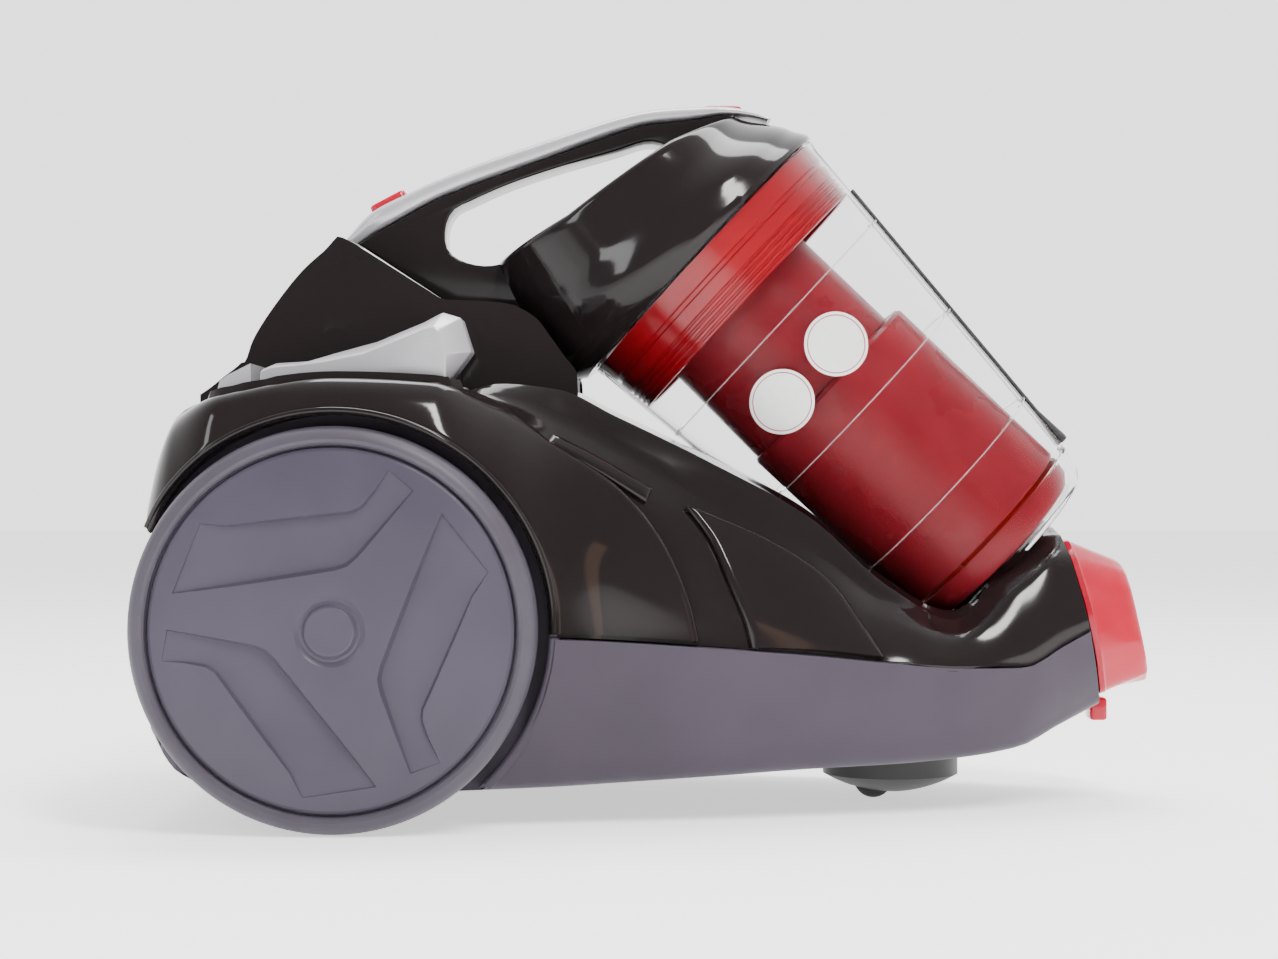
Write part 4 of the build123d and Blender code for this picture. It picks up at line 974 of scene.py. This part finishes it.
# One bent recess of the wheel cover as (forward, up) offsets from the axle, repeated three times.
COVER_RECESS = [(-50.6, 41.7), (-39.7, 40.6), (8.4, 45.7), (12.5, 47.8), (17.9, 54.5), (22.8, 62.6),
                (32.0, 54.7), (9.6, 29.4), (6.0, 26.4), (1.6, 25.0), (-61, 15.0)]


def unit(vector):
    return vector / np.linalg.norm(vector)


def widened(points, distance):
    """An outline with each edge moved outward."""
    p = np.array(points, float)
    area = 0.5 * np.sum(p[:, 0] * np.roll(p[:, 1], -1) - np.roll(p[:, 0], -1) * p[:, 1])
    turn = 1 if area > 0 else -1
    moved = []
    for i in range(len(p)):
        before, here, after = p[i - 1], p[i], p[(i + 1) % len(p)]
        a = unit(here - before)
        b = unit(after - here)
        na, nb = turn * np.array([a[1], -a[0]]), turn * np.array([b[1], -b[0]])
        bisector = na + nb
        moved.append(here + bisector * distance / max(0.35, 1 + na @ nb))
    return np.array(moved)


def build_wheel_cover():
    """The crowned disc with three bent channels that run out towards the rim, and a dished hub."""
    profile = [(0.0, 137.9), (9.0, 137.9), (9.7, 137.6), (10.0, 136.9), (10.9, 135.9), (12.0, 135.7),
               (13.2, 136.1), (14.0, 136.6), (15.2, 136.65), (26, 136.5), (38, 136.2), (50, 135.6),
               (60, 134.7), (67, 133.8), (70.2, 133.3), (71.4, 132.7), (COVER_R, 131.4), (COVER_R, 130.4),
               (68, 130.4), (40, 131.0), (0, 131.0)]
    disc = lathe_disc("left_wheel_cover_disc", profile, (AXLE_X, 0, AXLE_Z), 144)
    slope = 1.5 / (COVER_CREST - COVER_FLOOR)
    for turn in range(3):
        angle = turn * 2 * pi / 3
        spin = np.array([[cos(angle), -sin(angle)], [sin(angle), cos(angle)]])
        rings = []
        for y in (COVER_FLOOR, CUTTER_TOP):
            outline = widened(COVER_RECESS, slope * (y - COVER_FLOOR)) @ spin.T + (AXLE_X, AXLE_Z)
            rings.append(flat_ring(outline, y))
        cut(disc, loft("channel_cutter", rings), 16)
    return disc


def lathe_disc(name, profile, centre, steps):
    """A turned disc, closed on its own axis."""
    profile = np.asarray(profile, float)
    ring_rows = profile[1:-1]
    verts = [(centre[0], profile[0, 1], centre[2]), (centre[0], profile[-1, 1], centre[2])]
    for radius, along in ring_rows:
        for angle in around(steps):
            verts.append((centre[0] + radius * cos(angle), along, centre[2] + radius * sin(angle)))
    faces = []
    count = len(ring_rows)
    for k in range(steps):
        n = (k + 1) % steps
        faces.append((0, 2 + k, 2 + n))
        for r in range(count - 1):
            a, b = 2 + r * steps, 2 + (r + 1) * steps
            faces.append((a + k, b + k, b + n, a + n))
        last = 2 + (count - 1) * steps
        faces.append((1, last + n, last + k))
    return mesh_object(name, verts, faces, 16)


def build_tyre():
    """The soft rim: a rounded outer shoulder, shallow tread grooves and a lip round the cover."""
    profile = [(73.9, 108.4), (78.4, 108.2), (79.6, 109.0), (80.0, 110.4)]
    for groove in (114.0, 119.0, 124.0):
        profile += [(80.0, groove - 0.8), (79.4, groove - 0.4), (79.4, groove + 0.4), (80.0, groove + 0.8)]
    profile += [(80.0, 128.4), (79.7, 130.4), (79.0, 132.2), (77.8, 133.8), (76.3, 134.9), (74.8, 135.2),
                (73.5, 134.8), (72.8, 133.9), (72.6, 132.6), (72.6, 131.2), (74.0, 130.9)]
    return lathe("left_tyre_ring", profile, (AXLE_X, 0, AXLE_Z), "Y", 144, 28)


for build, node, slot in ((build_wheel_cover, "wheel_cover", "wheel_grey"),
                          (build_tyre, "tyre", "tyre_grey")):
    left_piece = build()
    right_piece = mirrored(left_piece, left_piece.name.replace("left", "right"))
    for piece, side in ((left_piece, "left"), (right_piece, "right")):
        place(piece, f"{side}_wheel_spin_body", slot, f"{side}_{node}")

# ---------------------------------------------------------------- pedals
# The pedal's side outline where it is fullest, and the same corners on its chamfered outer face.
PEDAL_FULL = [(-164.0, 183.7), (-163.8, 175.2), (-134.4, 179.0), (-108.0, 180.2), (-87.5, 179.2),
              (-78.6, 191.1), (-82.9, 204.8), (-90.4, 207.0), (-97.9, 203.0), (-116.8, 195.1),
              (-134.4, 190.3), (-143.2, 187.2), (-158.1, 186.3)]
PEDAL_FACE = [(-162.8, 182.6), (-163.0, 175.2), (-134.4, 179.0), (-108.0, 180.2), (-88.3, 179.6),
              (-88.4, 190.0), (-90.8, 198.9), (-92.8, 200.6), (-96.5, 199.6), (-121.5, 189.6),
              (-137.0, 186.6), (-148.0, 185.2), (-158.5, 184.2)]


def build_pedal():
    """A silver foot pedal: a long fish-tail with a faceted bulb at its front."""
    full, face = np.array(PEDAL_FULL), np.array(PEDAL_FACE)
    middle = full.mean(0)
    shrunk = middle + (full - middle) * (0.985, 0.94)
    rings = [flat_ring(face, 98.8), flat_ring(full, 86.0), flat_ring(full, 65.0), flat_ring(shrunk, 62.4)]
    body = bevelled(loft("pedal_body", rings, 18), 0.7, 3, 12, 18)
    profile = [(0.2, 160.0), (2.6, 160.0), (3.0, 160.6), (3.0, 180.0), (0.2, 180.0)]
    stem = lathe("pedal_stem", profile, (-152, 80, 0), "Z", 32)
    return join("rewind_pedal_cap", [body, stem], 18)


left_pedal = build_pedal()
right_pedal = mirrored(left_pedal, "power_pedal_cap")
place(left_pedal, "cord_rewind_pedal", "silver_paint", "rewind_pedal")
place(right_pedal, "power_switch_pedal", "silver_paint", "power_pedal")

# ---------------------------------------------------------------- handle
HANDLE_HALF = 16.0
HAND_HOLE = [(-90.6, 256.4), (-94.1, 250.4), (-94.1, 239.9), (-88.9, 234.7), (-73.2, 232.1),
             (-41, 249.5), (3.3, 282), (-1, 285.2), (-7.1, 286), (-21, 281.7), (-45.4, 274.7),
             (-68, 266.9), (-83.7, 259.9)]
UNDER_SKIN = [(-132.3, 241.3), (-122.2, 247.5), (-98, 261.1), (-54, 277.4), (-10, 292.8), (12, 295.2),
              (26, 297.6)]
SKIN_UNDERSIDE = UNDER_SKIN + [(38, 297.2), (45.5, 295.6)]
SKIN_TOP = [(-138.5, 244.4), (-127.9, 255.4), (-111.2, 264.2), (-91.4, 273.0), (-54, 286.2), (-10, 299.4),
            (16.4, 301.6), (34.9, 300.7), (47.2, 296.6)]


def build_handle_skin():
    """The silver top of the handle, crowned across and tapering to both ends."""
    top, under = smooth_line(SKIN_TOP, 70), smooth_line(SKIN_UNDERSIDE, 70)
    rings = []
    for t, high, low in zip(np.linspace(0, 1, 70), top, under):
        width = HANDLE_HALF * (1 - 0.30 * (1 - smoothstep(0, 0.10, t)) - 0.24 * smoothstep(0.86, 1, t))
        ring = []
        for angle in around(40):
            c, s = cos(angle), sin(angle)
            across = np.sign(c) * abs(c) ** 0.55 * width
            lift = 0.5 + 0.5 * (np.sign(s) * abs(s) ** (0.8 if s > 0 else 0.35))
            point = low + (high - low) * lift
            ring.append((point[0], across, point[1]))
        rings.append(ring)
    skin = loft("handle_top", rings, sharp=50)
    cut(skin, rounded_button("button_cutter", BACK_BUTTON, 18.2, 17.0, 9, 10, 3.2), 35)
    return skin


def rounded_button(name, spot, length, width, depth, proud, corner, dome=0.0):
    """A rounded block square to the handle's top at a place and slope."""
    (x, z), slope = spot
    along = np.array([cos(radians(slope)), sin(radians(slope))])
    out = np.array([-along[1], along[0]])
    rings = []
    flat_top = [(-0.8, 0.0), (-0.25, 0.3), (0.0, 0.9)]
    domed_top = [(-1.2, 0.0), (-0.5, 0.25), (-0.1, 0.9), (dome * 0.6, 2.6), (dome, 5.0)]
    levels = [(proud + up, inset) for up, inset in (domed_top if dome else flat_top)]
    for level, inset in [(-depth, 0.0)] + levels:
        ring = []
        half_l, half_w, r = length / 2 - inset, width / 2 - inset, max(corner - inset, 0.8)
        for angle in around(48):
            c, s = cos(angle), sin(angle)
            a = np.sign(c) * (half_l - r) + r * c
            b = np.sign(s) * (half_w - r) + r * s
            at = np.array([x, z]) + a * along + level * out
            ring.append((at[0], b, at[1]))
        rings.append(ring)
    return loft(name, rings, 40)


BACK_BUTTON = ((-119.6, 259.6), 27.8)
FRONT_BUTTON = ((26.0, 301.0), 0.0)
BASE_LINE = UNDER_SKIN + [(31.8, 297.2), (16, 284.0), (-26.0, 254.0), (-48.0, 236.0), (-57.0, 222.0),
                          (-63.0, 212.8), (-70.6, 214.8), (-93, 215.6)]


def build_handle_base():
    """The black arch of the handle round the hand hole, with rounded grips."""
    arch = prism("handle_arch", BASE_LINE, -HANDLE_HALF + 1.2, HANDLE_HALF - 1.2)
    hole = smooth_line(HAND_HOLE, 64, closed=True)
    cut(arch, prism("hole_cutter", hole, -30, 30), 30)
    return bevelled(arch, 2.6, 4, 32, 30)


place(build_handle_base(), "bin", "gloss_black", "handle_base")
place(build_handle_skin(), "bin", "silver_paint", "handle_skin")
rear_button = rounded_button("bin_button_cap", BACK_BUTTON, 17, 16, 5.5, 3.0, 3.0, 0.001)
place(rear_button, "bin_release", "red_gloss", "bin_release_button")
front_button = rounded_button("flap_button_cap", FRONT_BUTTON, 17, 16, 1.2, 1.4, 3.0, 0.55)
place(front_button, "flap_release", "red_gloss", "flap_button")

# ---------------------------------------------------------------- hose inlet
INLET_TILT = radians(12.5)
INLET_AXIS = np.array([cos(INLET_TILT), sin(INLET_TILT)])
COLLAR_SEAM = np.array([180.0, 74.0])
COLLAR_LENGTH = 24.8
COLLAR_ROOT = [(30, -28), (41, -12), (43, 2), (43, 12), (34, 30), (22, 39), (-22, 39), (-34, 30),
               (-43, 12), (-43, 2), (-41, -12), (-30, -28)]


def inlet_ring(along, outline):
    """An (across, up) outline stood square to the inlet's axis."""
    ring = []
    for across, up in outline:
        x = COLLAR_SEAM[0] + along * INLET_AXIS[0] - up * INLET_AXIS[1]
        z = COLLAR_SEAM[1] + along * INLET_AXIS[1] + up * INLET_AXIS[0]
        ring.append((x, across, z))
    return ring


def ray_outline(points, count, rounding=0.0):
    """Where rays from the centre cross a closed outline, at even angles."""
    p = np.array(points, float)
    if rounding:
        p = smooth_corners(p, rounding)
    ring = []
    for angle in around(count):
        d = np.array([cos(angle), sin(angle)])
        best = None
        for a, b in zip(p, np.roll(p, -1, axis=0)):
            e = b - a
            det = d[0] * -e[1] + d[1] * e[0]
            if abs(det) < 1e-9:
                continue
            t = (a[0] * -e[1] + a[1] * e[0]) / det
            s = (d[0] * a[1] - d[1] * a[0]) / det
            if t > 0 and -1e-9 <= s <= 1 + 1e-9:
                best = t if best is None else max(best, t)
        ring.append(tuple(d * best))
    return ring


def smooth_corners(points, radius):
    """Each corner of an outline replaced by a short curve."""
    p = np.array(points, float)
    out = []
    for i in range(len(p)):
        before, here, after = p[i - 1], p[i], p[(i + 1) % len(p)]
        a, b = (here + unit(other - here) * min(radius, np.linalg.norm(other - here) / 2.1)
                for other in (before, after))
        for t in (0, 0.25, 0.5, 0.75, 1):
            out.append((1 - t)**2 * a + 2 * t * (1 - t) * here + t**2 * b)
    return np.array(out)


def build_collar():
    """The red collar: a bevelled shield at its root, closing to the round hose mouth."""
    count = 120
    root = np.array(ray_outline(COLLAR_ROOT, count, 4.0))
    half, corner = 27.0, 20.0
    square = [(half, -half), (half, half), (-half, half), (-half, -half)]
    tip = np.array(ray_outline(smooth_corners(square, corner), count)) + (0, -2)
    circle = np.array([(cos(a), sin(a)) for a in around(count)])
    rings = []
    for along, outline in ((1.0, root * 0.975), (1.4, root), (3.6, root), (4.2, root * 0.985)):
        rings.append(inlet_ring(along, outline))
    for along in np.linspace(5.0, COLLAR_LENGTH - 1.6, 7):
        t = (along - 4.2) / (COLLAR_LENGTH - 4.2)
        rings.append(inlet_ring(along, root * 0.985 * (1 - t) + tip * t))
    rings.append(inlet_ring(COLLAR_LENGTH - 0.5, (tip - (0, -2)) * 0.985 + (0, -2)))
    rings.append(inlet_ring(COLLAR_LENGTH, (tip - (0, -2)) * 0.955 + (0, -2)))
    for along, radius in ((COLLAR_LENGTH, 21.6), (COLLAR_LENGTH - 0.8, 20.4), (COLLAR_LENGTH - 2.0, INLET_R),
                          (-10.0, INLET_R), (-10.0, INLET_R + 3.2), (0.9, INLET_R + 3.2)):
        rings.append(inlet_ring(along, circle * radius))
    return closed_tube("collar_shield", rings, 24)


place(build_collar(), "chassis", "red_gloss", "inlet_collar")
hose_button = bevelled(box_piece("hose_button_cap", (187, 194.4), (-7, 7), (33.6, 43.6)), 1.4, 3)
place(hose_button, "hose_release", "red_gloss", "hose_release_button")

# ---------------------------------------------------------------- bin foot, badges
PORT_P = -28.6
DUCT_R = 14.0
HINGE_P = -54.0
HINGE_X, HINGE_Z = bin_point(FLAP_H, HINGE_P)


def build_flap():
    """The clear floor flap: a round-cornered dish with the dirt port's ring and the hinge barrel."""
    foot_r, foot_p = CUP_FOOT
    outer = [(0.0, foot_r - 9.5, foot_p), (0.5, foot_r - 6.5, foot_p), (2.2, foot_r - 3.2, foot_p),
             (5.0, foot_r - 1.0, foot_p + 0.1), (9.0, foot_r - 0.1, foot_p + 0.2), cup_row(FLAP_H - 1.0),
             cup_row(FLAP_H - 0.2, -0.5)]
    inner = [cup_row(FLAP_H - 0.2, -3.0), (10.0, foot_r - 3.0, foot_p + 0.3), (5.6, foot_r - 4.4, foot_p),
             (3.2, foot_r - 7.0, foot_p), (2.6, foot_r - 10.0, foot_p), (2.6, 2.0, foot_p),
             (0.0, 2.0, foot_p)]
    dish = bin_shell("dish", outer, inner, 120)
    ring = bin_shell("port_ring", [(0.1, DUCT_R + 2, PORT_P), (FLAP_H - 1, DUCT_R + 2, PORT_P)],
                     [(FLAP_H - 1, DUCT_R, PORT_P), (0.1, DUCT_R, PORT_P)], 72)
    barrel = lathe("barrel", [(1.6, -12), (3.6, -12), (3.6, 12), (1.6, 12)], (HINGE_X, 0, HINGE_Z), "Y", 40)
    return join("flap_dish", [dish, ring, barrel], 30)


BADGE_R = 13.5
BADGE_SPOTS = [(120, -19.6), (120, 13.2)]


def on_cup(h, p, lift):
    """The point of the cup's right side over (h, p), lifted off the wall."""
    _, radius, centre = cup_row(h)
    depth = max((radius + lift)**2 - (p - centre)**2, 0) ** 0.5
    x, z = bin_point(h, p)
    return x, -depth, z


def cup_decal(name, spot, outline_rows, lifts):
    """A thin closed shape on the cup's side from rows of (h, p) offsets round a spot."""
    rings = []
    for row, lift in zip(outline_rows, lifts):
        rings.append([on_cup(spot[0] + a, spot[1] + b, lift) for a, b in row])
    return loft(name, rings, sharp=40)


def circle_row(radius):
    return [(radius * cos(a), radius * sin(a)) for a in around(72)]


def build_badges():
    """Two white discs on the cup with a thin printed ring."""
    discs, rings = [], []
    for spot in BADGE_SPOTS:
        rows = [circle_row(r) for r in (3, 8, 12.6, BADGE_R, BADGE_R, 12.6, 8, 3)]
        discs.append(cup_decal("disc", spot, rows, (0.05, 0.05, 0.05, 0.05, 0.45, 0.6, 0.6, 0.6)))
        ring_rows = [[on_cup(spot[0] + a, spot[1] + b, lift) for a, b in circle_row(r)]
                     for r, lift in ((11.9, 0.55), (12.3, 0.55), (12.3, 0.68), (11.9, 0.68))]
        rings.append(closed_tube("ring", ring_rows, 40))
    return join("badge_discs", discs, 40), join("badge_rings", rings, 40)


def build_flap_liner():
    """The red tray inside the clear flap, round the dirt port."""
    foot_p = CUP_FOOT[1]
    outer = [(3.2, 3.0, foot_p), (3.2, 38.0, foot_p), (4.6, 42.6, foot_p), (8.0, 44.8, foot_p + 0.4),
             (FLAP_H - 1.0, 45.4, foot_p + 1.0)]
    inner = [(FLAP_H - 1.0, 43.6, foot_p + 1.0), (8.6, 43.0, foot_p + 0.4), (5.8, 40.0, foot_p),
             (5.0, 36.0, foot_p), (5.0, 3.0, foot_p)]
    return bin_shell("flap_liner", outer, inner, 120)


place(build_flap_liner(), "flap", "red_drum", "cup_flap")
place(build_flap(), "flap", "clear_cup", "cup_flap")
badge_discs, badge_rings = build_badges()
place(badge_discs, "bin", "badge_white", "badges")
place(badge_rings, "bin", "badge_white", "badges", "badge_ink")


# ---------------------------------------------------------------- floor, light and camera
FLOOR_REACH = 6000
FLOOR_Z = -0.4


def area_light(name, spot, look_at, size, power, colour=(1, 1, 1)):
    data = bpy.data.lights.new(name, "AREA")
    data.shape = "RECTANGLE"
    data.size, data.size_y = size
    data.energy = power
    data.color = colour
    lamp = bpy.data.objects.new(name, data)
    lamp.location = spot
    lamp.rotation_euler = (Vector(look_at) - Vector(spot)).to_track_quat("-Z", "Y").to_euler()
    bpy.context.scene.collection.objects.link(lamp)


def build_world():
    """A pale studio: bright behind the cleaner, dimmer where the camera side of the room is."""
    world = bpy.data.worlds.new("studio")
    world.use_nodes = True
    nodes, links = world.node_tree.nodes, world.node_tree.links
    split = nodes.new("ShaderNodeSeparateXYZ")
    spread = nodes.new("ShaderNodeMapRange")
    spread.interpolation_type = "SMOOTHSTEP"
    for socket, value in (("From Min", -0.5), ("From Max", 0.8), ("To Min", 0.42), ("To Max", 2.3)):
        spread.inputs[socket].default_value = value
    links.new(nodes.new("ShaderNodeTexCoord").outputs["Generated"], split.inputs["Vector"])
    links.new(split.outputs["Y"], spread.inputs["Value"])
    background = nodes["Background"]
    background.inputs["Color"].default_value = (1, 1, 1, 1)
    links.new(spread.outputs["Result"], background.inputs["Strength"])
    bpy.context.scene.world = world


def build_stage():
    corners = [(x * FLOOR_REACH, y * FLOOR_REACH, FLOOR_Z) for x, y in ((-1, -1), (1, -1), (1, 1), (-1, 1))]
    floor = mesh_object("floor", corners, [(0, 1, 2, 3)])
    pale = shader("studio_floor", (0.95, 0.95, 0.95), 0.8, Specular_IOR_Level=0.0,
                  Emission_Color=(1, 1, 1, 1), Emission_Strength=0.95)
    floor.data.materials.append(pale)
    build_world()
    area_light("key", (0.55, -1.0, 1.45), (-0.03, 0, 0.13), (0.24, 0.95), 36, (1.0, 0.985, 0.96))
    area_light("fill", (-1.25, -0.9, 0.75), (-0.05, 0, 0.12), (0.25, 0.8), 6, (0.97, 0.98, 1.0))
    area_light("top", (0.1, 0.5, 1.7), (0, 0, 0.1), (1.2, 0.5), 26)
    area_light("warm_card", (0.62, -0.9, 0.10), (0.0, -0.1, 0.1), (0.10, 0.5), 0.3, (1.0, 0.6, 0.35))


def build_camera():
    data = bpy.data.cameras.new("camera")
    data.sensor_width = 36
    data.lens = 73.62
    camera = bpy.data.objects.new("camera", data)
    camera.location = (-0.01045, -1.150, 0.139)
    camera.rotation_euler = (radians(90), 0, 0)
    bpy.context.scene.collection.objects.link(camera)
    bpy.context.scene.camera = camera


build_stage()
build_camera()
